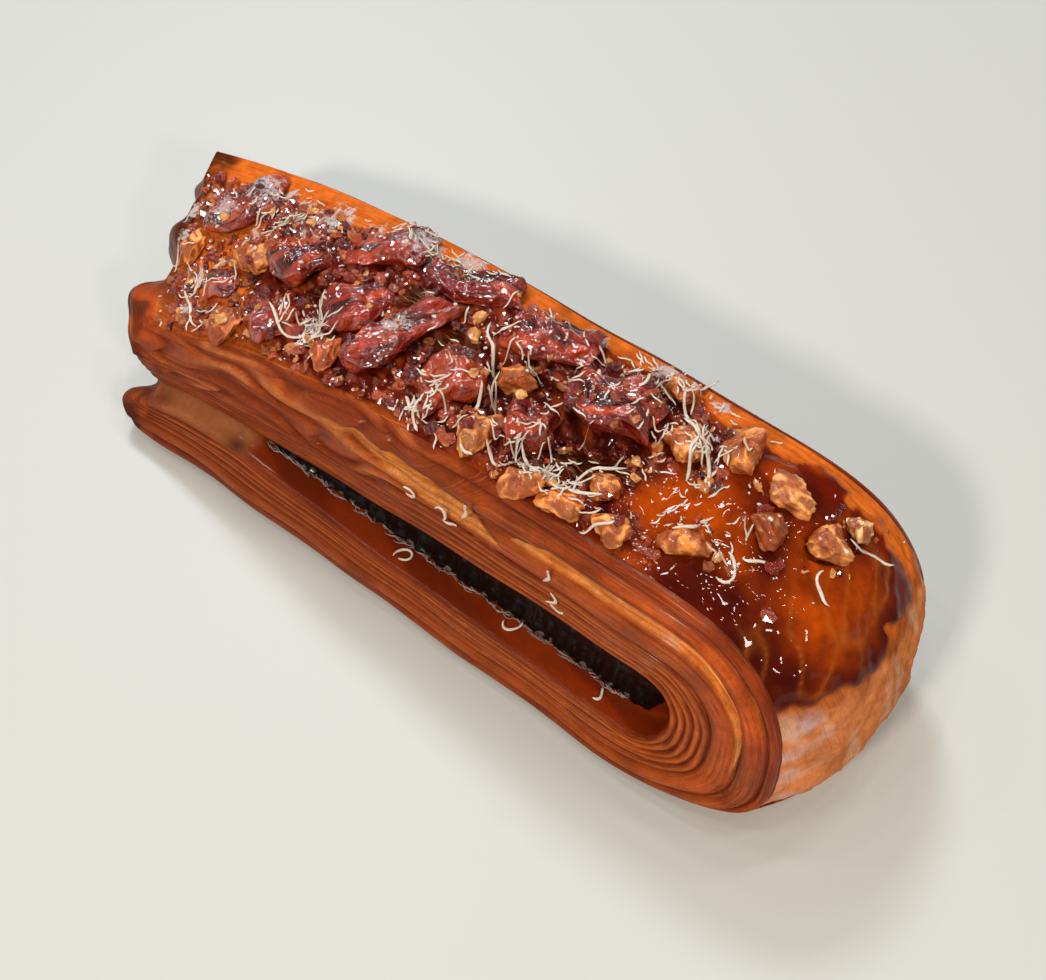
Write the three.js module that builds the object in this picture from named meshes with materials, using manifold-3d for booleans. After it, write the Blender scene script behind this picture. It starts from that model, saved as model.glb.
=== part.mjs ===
import * as THREE from "three";
import { mergeVertices } from "three/addons/utils/BufferGeometryUtils.js";
import Module from "manifold-3d";

const wasm = await Module();
wasm.setup();

// A bar of laminated dough folded over a dark filling, in millimetres.
// x runs along the bar towards the fold, y runs from the near cut side to the far one, z is up.
// Every point of the sheet has three numbers: s runs along the folded sheet (0 to 1 the upper leaf
// from the open end, 1 to 2 the fold, 2 to 3 the lower leaf back to the open end), t runs through
// its thickness (0 inside, 1 outside) and v runs across it (-1 near cut side, 1 far cut side).

const foldStart = 33;
const foldCentreZ = 17;
const foldReach = { near: 27.2, middle: 34.2, far: 29.5 };
const foldLean = 0.07;
const foldPower = { upper: 0.82, lower: 0.7 };
const foldLift = 5;
const slotEnd = { reach: 9, power: 0.85 };
const openEnd = { x: -70, y: -22, skew: 0.44, round: 1.6, lobes: 1.5, lobePitch: 10.4 };
const upperLobe = { y: -13, width: 5.5, reach: 4.4 };
const lowerLobe = { y: -21, width: 4, reach: 2.2 };

// The cut sides in y: where each leaf starts inside, how it moves outwards, how its top edge draws in.
const nearSide = { upper: -17.2, upperTilt: 0.5, upperEdge: 3.4, lower: -21.2, lowerBelly: -1.6, lowerTilt: -0.6 };
const farSide = { upper: 20.6, upperTilt: -0.4, upperEdge: -1.2, lower: 20.8, lowerBelly: 1.4, lowerTilt: 0.4 };

// Where along the sheet the cut sides pass from the upper leaf's place to the lower one's.
const leafChange = { from: 1.1, to: 1.95 };

// The layers are crisp round the fold and on the lower leaf and fainter on the left of the upper one.
const layerCrispness = { faint: 0.4, from: 0.45, to: 0.8 };
const layerWander = { size: 0.012, long: 9, short: 23 };

// How the underside rises: at the open end, and at the edges of the cut sides.
const underRise = { end: 1.6, endFrom: -58, endTo: -84, edge: 0.9, edgeFrom: 0.82 };

const leafGrid = { upper: 14, fold: 15, lower: 11, across: 13 };
const gap = 0.35;
const toppingGap = { flat: 0.46, fold: 0.3 };
const filling = { from: -41.5, to: 37.5, near: -15.7, far: 17.6, skirt: 1.4 };

// The web between the leaves, left of the filling: its ends in x and y, and how far it bites into both.
const web = { inset: 4, to: -42.6, near: -15.9, far: 17.6, bite: 0.7 };

// Hollows in the top: a long one under the toppings and a short split near the fold.
const hollows = [
  { x: -3, y: -1, z: 45.4, length: 26, width: 6.5, height: 8, turn: 0 },
  { x: 50.6, y: 8.6, z: 42.6, length: 7.6, width: 3.2, height: 4.6, turn: 62 },
];
const hollowAllowance = 1.08;

// Toppings as [x, y, length, width, height, turn in degrees, how far it sinks into the top].
const baconPieces = [
  [-68.5, 9.4, 13.5, 9.5, 3.6, 35, 0.8],
  [-62, -4.6, 6.4, 5.4, 3.4, 34, 0.8],
  [-48.2, 2.8, 9.6, 7.6, 4.6, 52, 0.8],
  [-45, -7.4, 8, 6, 3.8, 60, 0.8],
  [-35.4, 12.2, 13, 7.4, 4, 30, 0.8],
  [-32.4, -0.9, 11.4, 7.2, 4.6, 50, 0.8],
  [-22.8, -1.8, 18, 6, 4.6, 71, 0.2],
  [-19.4, 12.4, 16, 6.6, 3.6, 20, 0.8],
  [-10.6, -4, 11, 8, 5.4, 60, 2.2],
  [-2.2, 10.4, 15, 7.8, 4.6, 18, 0.8],
  [5, -4.6, 7.2, 7.2, 6.4, 34, 2.2],
  [12.8, 5.4, 14.5, 9.2, 5, 10, 0.4],
];
const nutPieces = [
  [-73.4, -0.2, 5, 5, 3.6, 39, 0.6],
  [-57.8, 0.6, 8.2, 4.8, 4.4, -24, 0.8],
  [-55, -11, 7, 5.6, 4, -16, 0.6],
  [-32, -9.4, 5.6, 5, 4, 46, 0.6],
  [-1.4, -9.6, 6.8, 5.8, 4.4, 62, 0.6],
  [-2.2, 1.4, 5.4, 4.4, 4, 55, 0.9],
  [9, -12.2, 5.6, 4.4, 3.8, 12, 0.6],
  [15.8, -11.6, 7, 4.4, 3.8, 10, 0.6],
  [24.4, -10.8, 6.4, 4.4, 3.6, 18, 0.6],
  [19.8, -6.2, 5.4, 4, 3.6, 30, 0.6],
  [18.6, 14.4, 5.2, 4.6, 4, 13, 0.6],
  [25, 6.4, 6.4, 5.4, 4.4, 30, 0.6],
  [31.6, 10.6, 7, 6.4, 4.8, 77, 0.6],
  [41.6, 1.6, 6.2, 5.2, 4.4, 2, 0.6],
  [40.6, 8.6, 8, 5, 4.4, -18, 0.6],
  [34.4, -6.8, 6.4, 4.4, 3.8, 10, 0.6],
  [49.2, 6, 6, 5.2, 4.6, 62, 1],
  [51.2, 11.6, 4.4, 3.8, 3.8, 64, 0.8],
];

// Grated shreds that lie on the dough as [x, y, length, turn in degrees, bend in degrees].
const shreds = [
  [-12.6, -11.2, 7, -17, 40],
  [-5.6, -5.4, 5, 106, 20],
  [3.4, -12, 3.6, -20, 30],
  [10.6, -8.4, 6, 12, 20],
  [14.4, -6.6, 5, 54, -30],
  [19.2, 8.4, 6, 99, 20],
  [22.6, 12.4, 7, -49, 10],
  [29, 4.4, 7.6, -47, 12],
  [22, -3, 5.4, 80, 30],
  [34, -2.6, 5, 57, 40],
  [41, -6.4, 7, 87, 150],
  [44.4, -2.4, 5, 33, 30],
  [52, 1, 5.6, -50, 60],
  [47.4, -11, 2, -55, 20],
  [-38.6, -8.6, 6, -19, 120],
  [-65, -11, 8, -36, 20],
  [-66.5, -3.6, 6, -60, 30],
  [-51.6, 8, 8, 30, 25],
  [-47, 15, 7, 15, 30],
  [-30, 16.6, 7, 10, 15],
  [-8.6, 16.8, 6, 12, 20],
  [8, 14.6, 7, 20, -30],
  [30, 16.4, 5, 60, 30],
  [0, -3.6, 4, 40, 40],
  [27.6, -5.4, 5, -30, 40],
];
const shredSize = { width: 1, height: 0.9, sink: 0.8 };
const crumbs = { count: 30, seed: 11, smallest: 0.9, spread: 0.8, from: [-72, -11], to: [46, 15] };

// Heights along x: knots of [x, z].
const topNear = [[-92, 13], [-78, 16], [-62, 22.4], [-50, 28.5], [-34, 33.5], [-20, 36.5], [0, 39.2], [33, 40.6]];
const topFar = [[-92, 25], [-80, 29.6], [-57, 35.8], [-34, 39.2], [-15, 40.4], [33, 40.4]];
const slotRoof = [[-92, 9.6], [-70, 9.6], [-62, 11.9], [-54, 13.8], [-45, 14.9], [-38, 15.6],
  [-28, 16.8], [-16, 18.4], [-5, 20.2], [12, 21.6], [24, 22.4], [33, 22]];
const slotFloor = [[-92, 8.4], [-70, 8.4], [-62, 10.7], [-54, 12.6], [-45, 13.7], [-38, 13.4],
  [-28, 12.6], [-10, 11.6], [12, 11.2], [33, 10.4]];
const crown = 2.4;

// Layers that show at the cut sides: where each one starts in t, and how far it stands out.
const layerEdges = [0, 0.08, 0.16, 0.24, 0.32, 0.41, 0.7, 0.91, 1];
const layerRise = [0.8, 0.75, 0.85, 0.7, 0.9, 1.15, 1.2, 0.8];

function clamp(value, low, high) {
  return Math.min(high, Math.max(low, value));
}

function mix(a, b, k) {
  return a + (b - a) * k;
}

function smooth(from, to, value) {
  const k = clamp((value - from) / (to - from), 0, 1);
  return k * k * (3 - 2 * k);
}

// Smooth curve through knots that never overshoots between them.
function curve(x, knots) {
  const last = knots.length - 1;
  const at = clamp(x, knots[0][0], knots[last][0]);
  let i = 0;
  while (i < last - 1 && at > knots[i + 1][0]) i += 1;
  const slope = (k) => (knots[k + 1][1] - knots[k][1]) / (knots[k + 1][0] - knots[k][0]);
  const tangent = (k) => {
    if (k === 0) return slope(0);
    if (k === last) return 0;
    const product = slope(k - 1) * slope(k);
    return product <= 0 ? 0 : (2 * product) / (slope(k - 1) + slope(k));
  };
  const h = knots[i + 1][0] - knots[i][0];
  const u = (at - knots[i][0]) / h;
  const w = 1 - u;
  return (1 + 2 * u) * w * w * knots[i][1] + u * w * w * h * tangent(i)
    + u * u * (3 - 2 * u) * knots[i + 1][1] - u * u * w * h * tangent(i + 1);
}

// How far the edge of a layer stands out of the cut side.
function layerRelief(t) {
  let i = 0;
  while (i < layerRise.length - 1 && t >= layerEdges[i + 1]) i += 1;
  const u = clamp((t - layerEdges[i]) / (layerEdges[i + 1] - layerEdges[i]), 0, 1);
  return layerRise[i] * Math.sqrt(Math.max(0, Math.sin(Math.PI * u)));
}

function layerStrength(s) {
  return mix(layerCrispness.faint, 1, smooth(layerCrispness.from, layerCrispness.to, s));
}

// Position of a cut side in y, before the relief of its layers.
function sideY(side, s, t) {
  const low = smooth(leafChange.from, leafChange.to, s);
  const upper = side.upper + side.upperTilt * t + side.upperEdge * t ** 4;
  const lower = side.lower + side.lowerBelly * Math.sin(0.8 * Math.PI * t) + side.lowerTilt * t;
  return mix(upper, lower, low);
}

function nearY(s, t) {
  return sideY(nearSide, s, t) - layerRelief(t) * layerStrength(s);
}

function farY(s, t) {
  return sideY(farSide, s, t) + layerRelief(t) * layerStrength(s);
}

// The crimped open end: skewed in plan, with soft lobes along it.
function openEndX(y, t, upper) {
  const line = openEnd.x - openEnd.skew * (y - openEnd.y);
  const round = 1 - (2 * t - 1) ** 2;
  const wave = 1 + Math.sin((2 * Math.PI * (y + (upper ? 0.5 : 4.5))) / openEnd.lobePitch);
  const lobe = upper ? upperLobe : lowerLobe;
  const bulge = lobe.reach * Math.exp(-(((y - lobe.y) / lobe.width) ** 2));
  return line + (upper ? 2 : 3.2) - round * (openEnd.round + openEnd.lobes * wave + bulge);
}

function topHeight(x, v) {
  const side = (1 + v) / 2;
  return mix(curve(x, topNear), curve(x, topFar), side) + crown * (1 - v * v);
}

function underHeight(x, v) {
  return underRise.end * smooth(underRise.endFrom, underRise.endTo, x)
    + underRise.edge * smooth(underRise.edgeFrom, 1, Math.abs(v));
}

// Layer lines wander a little along the sheet.
function wander(s, t) {
  const wave = Math.sin(layerWander.long * s + 5 * t) + 0.6 * Math.sin(layerWander.short * s + 1);
  return t + layerWander.size * Math.sin(Math.PI * t) * wave;
}

// How far the fold reaches past its start, across the sheet.
function foldReachAt(v) {
  return mix(foldReach.middle, v < 0 ? foldReach.near : foldReach.far, Math.min(1, Math.abs(v)) ** 2.4);
}

function sheetPoint(s, t, v) {
  const y = mix(nearY(s, t), farY(s, t), (1 + v) / 2);
  const k = wander(s, t);
  if (s <= 1) {
    const x = mix(openEndX(y, t, true), foldStart, s);
    return [x, y, mix(curve(x, slotRoof), topHeight(x, v), k)];
  }
  if (s >= 2) {
    const x = mix(foldStart, openEndX(y, t, false), s - 2);
    return [x, y, mix(curve(x, slotFloor), underHeight(x, v), k)];
  }
  const turn = Math.PI / 2 - Math.PI * (s - 1);
  const c = Math.max(0, Math.cos(turn));
  const n = Math.sin(turn);
  const sign = Math.sign(n);
  const roof = curve(foldStart, slotRoof);
  const floor = curve(foldStart, slotFloor);
  const innerX = foldStart + slotEnd.reach * c ** slotEnd.power;
  const innerZ = (roof + floor) / 2 + ((roof - floor) / 2) * sign * Math.abs(n) ** slotEnd.power;
  const reach = foldReachAt(v);
  const power = n > 0 ? foldPower.upper : foldPower.lower;
  const height = n > 0 ? topHeight(foldStart, v) - foldCentreZ : foldCentreZ - underHeight(foldStart, v);
  const lift = foldLift * c * Math.max(0, -n);
  const outerZ = foldCentreZ + height * sign * Math.abs(n) ** power + lift;
  const outerX = foldStart + reach * c ** power - foldLean * (outerZ - 10) * c;
  return [mix(innerX, outerX, k), y, mix(innerZ, outerZ, k)];
}

// Numbers of t at the grooves and crests of the layers.
function layerSteps() {
  const steps = [];
  for (let i = 0; i < layerRise.length; i += 1) {
    const from = layerEdges[i];
    const width = layerEdges[i + 1] - from;
    const inside = width > 0.15 ? [0.16, 0.5, 0.84] : [0.5];
    steps.push(from, ...inside.map((k) => from + k * width));
  }
  steps.push(1);
  return steps;
}

function leafSteps() {
  const steps = [];
  for (let i = 0; i < leafGrid.upper; i += 1) steps.push(i / leafGrid.upper);
  for (let i = 0; i < leafGrid.fold; i += 1) steps.push(1 + i / leafGrid.fold);
  for (let i = 0; i <= leafGrid.lower; i += 1) steps.push(2 + i / leafGrid.lower);
  return steps;
}

// Closed skin of a block of lattice points: point(i, j, k) for i, j, k up to the three counts.
function blockSolid(counts, point) {
  const index = new Map();
  const positions = [];
  const triangles = [];
  const vertex = (i, j, k) => {
    const key = (i * (counts[1] + 1) + j) * (counts[2] + 1) + k;
    if (!index.has(key)) {
      index.set(key, positions.length / 3);
      positions.push(...point(i, j, k));
    }
    return index.get(key);
  };
  for (let axis = 0; axis < 3; axis += 1) {
    const a = (axis + 1) % 3;
    const b = (axis + 2) % 3;
    for (const end of [0, counts[axis]]) {
      for (let p = 0; p < counts[a]; p += 1) {
        for (let q = 0; q < counts[b]; q += 1) {
          const corner = (dp, dq) => {
            const at = [0, 0, 0];
            at[axis] = end;
            at[a] = p + dp;
            at[b] = q + dq;
            return vertex(at[0], at[1], at[2]);
          };
          const square = [corner(0, 0), corner(1, 0), corner(1, 1), corner(0, 1)];
          if (end === 0) square.reverse();
          triangles.push(square[0], square[1], square[2], square[0], square[2], square[3]);
        }
      }
    }
  }
  return solidFrom(positions, triangles);
}

// A manifold solid with its faces outwards.
function solidFrom(positions, triangles) {
  let signedVolume = 0;
  const at = (i) => new THREE.Vector3(positions[3 * i], positions[3 * i + 1], positions[3 * i + 2]);
  for (let i = 0; i < triangles.length; i += 3) {
    const [a, b, c] = [at(triangles[i]), at(triangles[i + 1]), at(triangles[i + 2])];
    signedVolume += a.dot(b.cross(c));
  }
  if (signedVolume < 0) triangles.reverse();
  return new wasm.Manifold(new wasm.Mesh({
    numProp: 3,
    vertProperties: new Float32Array(positions),
    triVerts: new Uint32Array(triangles),
  }));
}

function geometryFrom(solid) {
  const mesh = solid.getMesh();
  const geometry = new THREE.BufferGeometry();
  geometry.setAttribute("position", new THREE.BufferAttribute(new Float32Array(mesh.vertProperties), 3));
  geometry.setIndex(new THREE.BufferAttribute(new Uint32Array(mesh.triVerts), 1));
  const welded = mergeVertices(geometry, 1e-4);
  welded.computeVertexNormals();
  return welded;
}

// Place across the outside of the sheet, from -1 to 1, of a point in plan.
function acrossAt(s, y) {
  return clamp((2 * (y - nearY(s, 1))) / (farY(s, 1) - nearY(s, 1)) - 1, -1.15, 1.15);
}

// Height of the top skin over a place in plan, before anything is cut into it.
function skinHeight(x, y) {
  let v = acrossAt(0.5, y);
  if (x <= foldStart) return topHeight(x, v);
  let z = topHeight(foldStart, v);
  for (let round = 0; round < 4; round += 1) {
    const c = clamp((x - foldStart + foldLean * (z - 10)) / foldReachAt(v), 0, 1) ** (1 / foldPower.upper);
    v = acrossAt(1.5 - Math.acos(c) / Math.PI, y);
    z = foldCentreZ + (topHeight(foldStart, v) - foldCentreZ) * (1 - c * c) ** (foldPower.upper / 2);
  }
  return z;
}

function hollowFloor(hollow, x, y) {
  const a = (hollow.turn * Math.PI) / 180;
  const along = (x - hollow.x) * Math.cos(a) + (y - hollow.y) * Math.sin(a);
  const across = (y - hollow.y) * Math.cos(a) - (x - hollow.x) * Math.sin(a);
  const spread = (along / hollow.length) ** 2 + (across / hollow.width) ** 2;
  return spread < 1 ? hollow.z - hollow.height * Math.sqrt(1 - spread) : Infinity;
}

function surfaceHeight(x, y) {
  return Math.min(skinHeight(x, y), ...hollows.map((hollow) => hollowFloor(hollow, x, y)));
}

// Closed solid over a ball of directions: point(along, around) with poles at both ends of along.
function ballSolid(rows, columns, point) {
  const positions = [...point(0, 0)];
  const triangles = [];
  for (let i = 1; i < rows; i += 1) {
    for (let j = 0; j < columns; j += 1) {
      positions.push(...point(i / rows, j / columns));
    }
  }
  positions.push(...point(1, 0));
  const last = positions.length / 3 - 1;
  const at = (i, j) => 1 + (i - 1) * columns + (j % columns);
  for (let j = 0; j < columns; j += 1) {
    triangles.push(0, at(1, j), at(1, j + 1));
    triangles.push(last, at(rows - 1, j + 1), at(rows - 1, j));
    for (let i = 1; i < rows - 1; i += 1) {
      triangles.push(at(i, j), at(i + 1, j), at(i + 1, j + 1));
      triangles.push(at(i, j), at(i + 1, j + 1), at(i, j + 1));
    }
  }
  return solidFrom(positions, triangles);
}

function foldedSheet() {
  const leaf = leafSteps();
  const layers = layerSteps();
  const counts = [leaf.length - 1, layers.length - 1, leafGrid.across];
  return blockSolid(counts, (i, j, k) => sheetPoint(leaf[i], layers[j], (2 * k) / leafGrid.across - 1));
}

// Where the two leaves are pressed together, left of the filling: a web set back from the cut sides.
function pressedSeam() {
  const counts = [7, 1, 6];
  return blockSolid(counts, (i, j, k) => {
    const y = mix(web.near, web.far, k / counts[2]);
    const x = mix(openEndX(y, 0.5, true) + web.inset, web.to, i / counts[0]);
    const middle = (curve(x, slotRoof) + curve(x, slotFloor)) / 2;
    const half = (curve(x, slotRoof) - curve(x, slotFloor)) / 2 + web.bite;
    return [x, y, middle + half * (2 * j - 1)];
  });
}

// The solid that cuts a hollow, a little large so that its flat facets clear the toppings.
function hollowSolid(hollow) {
  const a = (hollow.turn * Math.PI) / 180;
  return ballSolid(10, 20, (along, around) => {
    const out = Math.sin(Math.PI * along) * hollowAllowance;
    const ownX = hollow.length * out * Math.cos(2 * Math.PI * around);
    const ownY = hollow.width * out * Math.sin(2 * Math.PI * around);
    return [
      hollow.x + ownX * Math.cos(a) - ownY * Math.sin(a),
      hollow.y + ownX * Math.sin(a) + ownY * Math.cos(a),
      hollow.z + hollow.height * hollowAllowance * Math.cos(Math.PI * along),
    ];
  });
}

// Half the height of the slot, and its middle, at a place along it.
function slotSpan(x) {
  const at = Math.min(x, foldStart);
  const half = (curve(at, slotRoof) - curve(at, slotFloor)) / 2;
  const c = clamp((x - foldStart) / slotEnd.reach, 0, 1) ** (1 / slotEnd.power);
  return { middle: curve(at, slotFloor) + half, half: half * (1 - c * c) ** (slotEnd.power / 2) };
}

function fillingSolid() {
  const counts = [20, 3, 4];
  return blockSolid(counts, (i, j, k) => {
    const height = (2 * j) / counts[1] - 1;
    const base = mix(filling.from, filling.to, i / counts[0]);
    const span = slotSpan(base);
    const x = base + (i === counts[0] ? 1.6 * (1 - height * height) : 0);
    const ragged = 0.5 * Math.sin(1.3 * x) + 0.35 * Math.sin(2.9 * x + 1);
    const skirt = filling.skirt * ((1 - height) / 2) ** 2 + ragged * (1 - height) * 0.35;
    const y = mix(filling.near - skirt, filling.far + skirt, k / counts[2]);
    return [x, y, span.middle + height * (span.half - gap)];
  });
}

// Turns a piece's own coordinates into the part's and keeps its underside clear of the dough.
function place(piece, own) {
  const [x, y, , , , turn, sink] = piece;
  const a = (turn * Math.PI) / 180;
  const px = x + own[0] * Math.cos(a) - own[1] * Math.sin(a);
  const py = y + own[0] * Math.sin(a) + own[1] * Math.cos(a);
  const base = 0.35 * skinHeight(x, y) + 0.65 * skinHeight(px, py) - sink;
  const clearance = toppingGap.flat + toppingGap.fold * smooth(foldStart, foldStart + 15, px);
  return [px, py, Math.max(base + own[2], surfaceHeight(px, py) + clearance)];
}

// A cut piece of bacon: a slab with uneven corners, curled and wavy.
function baconSolid(piece, index) {
  const counts = [5, 4, 2];
  const [, , length, width, height] = piece;
  const phase = 1.7 * index;
  return blockSolid(counts, (i, j, k) => {
    const a = (2 * i) / counts[0] - 1;
    const b = (2 * j) / counts[1] - 1;
    const c = (2 * k) / counts[2] - 1;
    const skew = 0.09 * Math.sin(3 * phase) * b + 0.06 * Math.sin(2.4 * b + phase);
    const taper = 1 + 0.16 * a * Math.sin(phase + 1);
    const along = length * (0.5 * a * (1 - 0.05 * b * b - 0.08 * c * c) + skew);
    const across = width * (0.5 * b * taper * (1 - 0.08 * a * a - 0.08 * c * c) + 0.07 * Math.sin(3 * a + 2 * phase));
    const wave = Math.sin(3.4 * a + phase) * 0.16 + Math.sin(3.1 * b + 1.3 * phase) * 0.12;
    const up = height * (0.5 + 0.5 * c * (1 - 0.14 * a * a - 0.16 * b * b) + (0.4 + 0.6 * c) * wave);
    return place(piece, [along, across, up]);
  });
}

// A piece of walnut: a lump of a few lobes.
function nutSolid(piece, index) {
  const [, , length, width, height] = piece;
  const phase = 2.3 * index;
  return ballSolid(6, 10, (along, around) => {
    const turn = 2 * Math.PI * around;
    const out = Math.sin(Math.PI * along) ** 0.8;
    const lobes = 1 + 0.14 * Math.sin(3 * turn + phase) + 0.08 * Math.sin(2 * turn - 5 * along + phase);
    const up = 0.5 + 0.5 * Math.cos(Math.PI * along) * (1 + 0.14 * Math.sin(2 * turn + phase));
    return place(piece, [
      (length / 2) * out * lobes * Math.cos(turn),
      (width / 2) * out * lobes * Math.sin(turn),
      height * up,
    ]);
  });
}

// Whether a place in plan is clear of every separate topping.
function clearOfPieces(x, y, margin) {
  return [...baconPieces, ...nutPieces].every(([px, py, length, width, , turn]) => {
    const a = (turn * Math.PI) / 180;
    const along = (x - px) * Math.cos(a) + (y - py) * Math.sin(a);
    const across = (y - py) * Math.cos(a) - (x - px) * Math.sin(a);
    return (along / (0.56 * length + margin)) ** 4 + (across / (0.56 * width + margin)) ** 4 > 1;
  });
}

// Middle line of a shred as points in plan, spaced evenly along an arc.
function shredLine(shred, steps) {
  const [x, y, length, turn, bend] = shred;
  const points = [];
  for (let i = 0; i <= steps; i += 1) {
    const k = i / steps - 0.5;
    const angle = ((turn + bend * k * 0.5) * Math.PI) / 180;
    points.push([x + length * k * Math.cos(angle), y + length * k * Math.sin(angle)]);
  }
  return points;
}

function shredSolid(shred) {
  const steps = 4;
  const line = shredLine(shred, steps);
  return blockSolid([steps, 1, 1], (i, j, k) => {
    const before = line[Math.max(0, i - 1)];
    const after = line[Math.min(steps, i + 1)];
    const long = Math.hypot(after[0] - before[0], after[1] - before[1]);
    const out = shredSize.width * (k - 0.5) * (i === 0 || i === steps ? 0.6 : 1);
    const x = line[i][0] - (out * (after[1] - before[1])) / long;
    const y = line[i][1] + (out * (after[0] - before[0])) / long;
    return [x, y, surfaceHeight(x, y) + (j === 0 ? -shredSize.sink : shredSize.height)];
  });
}

function seededRandom(seed) {
  let state = seed;
  return () => {
    state = (state * 1664525 + 1013904223) % 4294967296;
    return state / 4294967296;
  };
}

// Nut crumbs scattered over the top, away from the larger pieces.
function crumbSolids() {
  const random = seededRandom(crumbs.seed);
  const made = [];
  while (made.length < crumbs.count) {
    const x = mix(crumbs.from[0], crumbs.to[0], random());
    const y = mix(crumbs.from[1], crumbs.to[1], random());
    const size = crumbs.smallest + crumbs.spread * random();
    const phase = 6 * random();
    const clear = clearOfPieces(x, y, size + 0.6);
    const apart = made.every((other) => Math.hypot(other.x - x, other.y - y) > 2.6);
    const offShreds = shreds.every((shred) => shredLine(shred, 4).every(([sx, sy]) => (
      Math.hypot(sx - x, sy - y) > size + 1
    )));
    if (clear && apart && offShreds) made.push({ x, y, size, phase });
  }
  return made.map(({ x, y, size, phase }) => ballSolid(3, 5, (along, around) => {
    const turn = 2 * Math.PI * around + phase;
    const out = size * Math.sin(Math.PI * along) * (1 + 0.25 * Math.sin(2 * turn));
    const up = 0.1 + 0.9 * size * Math.cos(Math.PI * along);
    return [x + out * Math.cos(turn), y + out * Math.sin(turn), surfaceHeight(x, y) + up];
  }));
}

function doughSolid() {
  const bits = [
    ...shreds.filter((shred) => shredLine(shred, 8).every(([x, y]) => clearOfPieces(x, y, 0.9))).map(shredSolid),
    ...crumbSolids(),
  ];
  const whole = foldedSheet().add(pressedSeam());
  const body = hollows.reduce((rest, hollow) => rest.subtract(hollowSolid(hollow)), whole);
  const joined = bits.reduce((made, bit) => made.add(bit), body);
  return joined.decompose().sort((one, other) => other.volume() - one.volume())[0];
}

function material(name, color, roughness) {
  const made = new THREE.MeshStandardMaterial({ color, roughness });
  made.name = name;
  return made;
}

function node(name, solid, look) {
  const mesh = new THREE.Mesh(geometryFrom(solid), look);
  mesh.name = name;
  return mesh;
}

const part = new THREE.Group();
part.name = "maple_bacon_croissant";
part.add(node("dough", doughSolid(), material("baked_dough", 0xb4642d, 0.6)));
part.add(node("filling", fillingSolid(), material("dark_filling", 0x120c0b, 0.3)));
baconPieces.forEach((piece, index) => {
  part.add(node(`bacon_${index + 1}`, baconSolid(piece, index), material("candied_bacon", 0x7a2c2a, 0.3)));
});
nutPieces.forEach((piece, index) => {
  part.add(node(`walnut_${index + 1}`, nutSolid(piece, index), material("walnut", 0xc48a4a, 0.5)));
});

// The part stands on the floor with the origin under the middle of its box.
const box = new THREE.Box3().setFromObject(part);
const middle = box.getCenter(new THREE.Vector3());
part.children.forEach((mesh) => mesh.geometry.translate(-middle.x, -middle.y, -box.min.z));

export default part;
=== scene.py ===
import math

import bpy
import numpy as np
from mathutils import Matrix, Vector


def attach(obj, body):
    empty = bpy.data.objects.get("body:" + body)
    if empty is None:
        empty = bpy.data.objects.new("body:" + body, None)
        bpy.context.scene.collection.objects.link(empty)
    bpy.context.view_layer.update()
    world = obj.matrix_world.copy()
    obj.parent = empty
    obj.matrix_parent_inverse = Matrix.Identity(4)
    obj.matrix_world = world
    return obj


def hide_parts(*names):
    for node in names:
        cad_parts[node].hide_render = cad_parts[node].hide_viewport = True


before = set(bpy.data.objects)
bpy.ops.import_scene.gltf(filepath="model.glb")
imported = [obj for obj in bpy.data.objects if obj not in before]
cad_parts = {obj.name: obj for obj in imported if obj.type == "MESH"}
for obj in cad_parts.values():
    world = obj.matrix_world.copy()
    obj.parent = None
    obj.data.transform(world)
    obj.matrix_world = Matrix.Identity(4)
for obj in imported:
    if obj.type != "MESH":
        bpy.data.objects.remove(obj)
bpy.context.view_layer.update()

# Shapes are worked out in millimetres in the bar's own coordinates: x runs along the bar towards the fold,
# y from the near cut side to the far one, z up. ownMiddle carries them into the frame.
ownMiddle = np.array([11.729, 0.37, 0.0])
millimetre = 0.001


# Camera

view = {"azimuth": 38.0, "elevation": 56.0, "distance": 228.4, "target": (0.0, 0.0, 17.0),
        "lens": 48.18, "sensor": 36.0, "nearest": 0.01, "farthest": 20.0}


def makeCamera():
    # The camera looks at the target from the azimuth and elevation that the photo was taken at.
    data = bpy.data.cameras.new("camera")
    data.lens = view["lens"]
    data.sensor_width = view["sensor"]
    data.clip_start = view["nearest"]
    data.clip_end = view["farthest"]
    camera = bpy.data.objects.new("camera", data)
    bpy.context.scene.collection.objects.link(camera)
    a = math.radians(view["azimuth"])
    e = math.radians(view["elevation"])
    back = Vector((math.sin(a) * math.cos(e), -math.cos(a) * math.cos(e), math.sin(e)))
    target = Vector((np.array(view["target"]) + ownMiddle) * millimetre)
    camera.location = target + back * view["distance"] * millimetre
    camera.rotation_euler = (-back).to_track_quat("-Z", "Y").to_euler()
    bpy.context.scene.camera = camera


makeCamera()
print("camera placed")


# Numbers of the folded sheet

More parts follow.
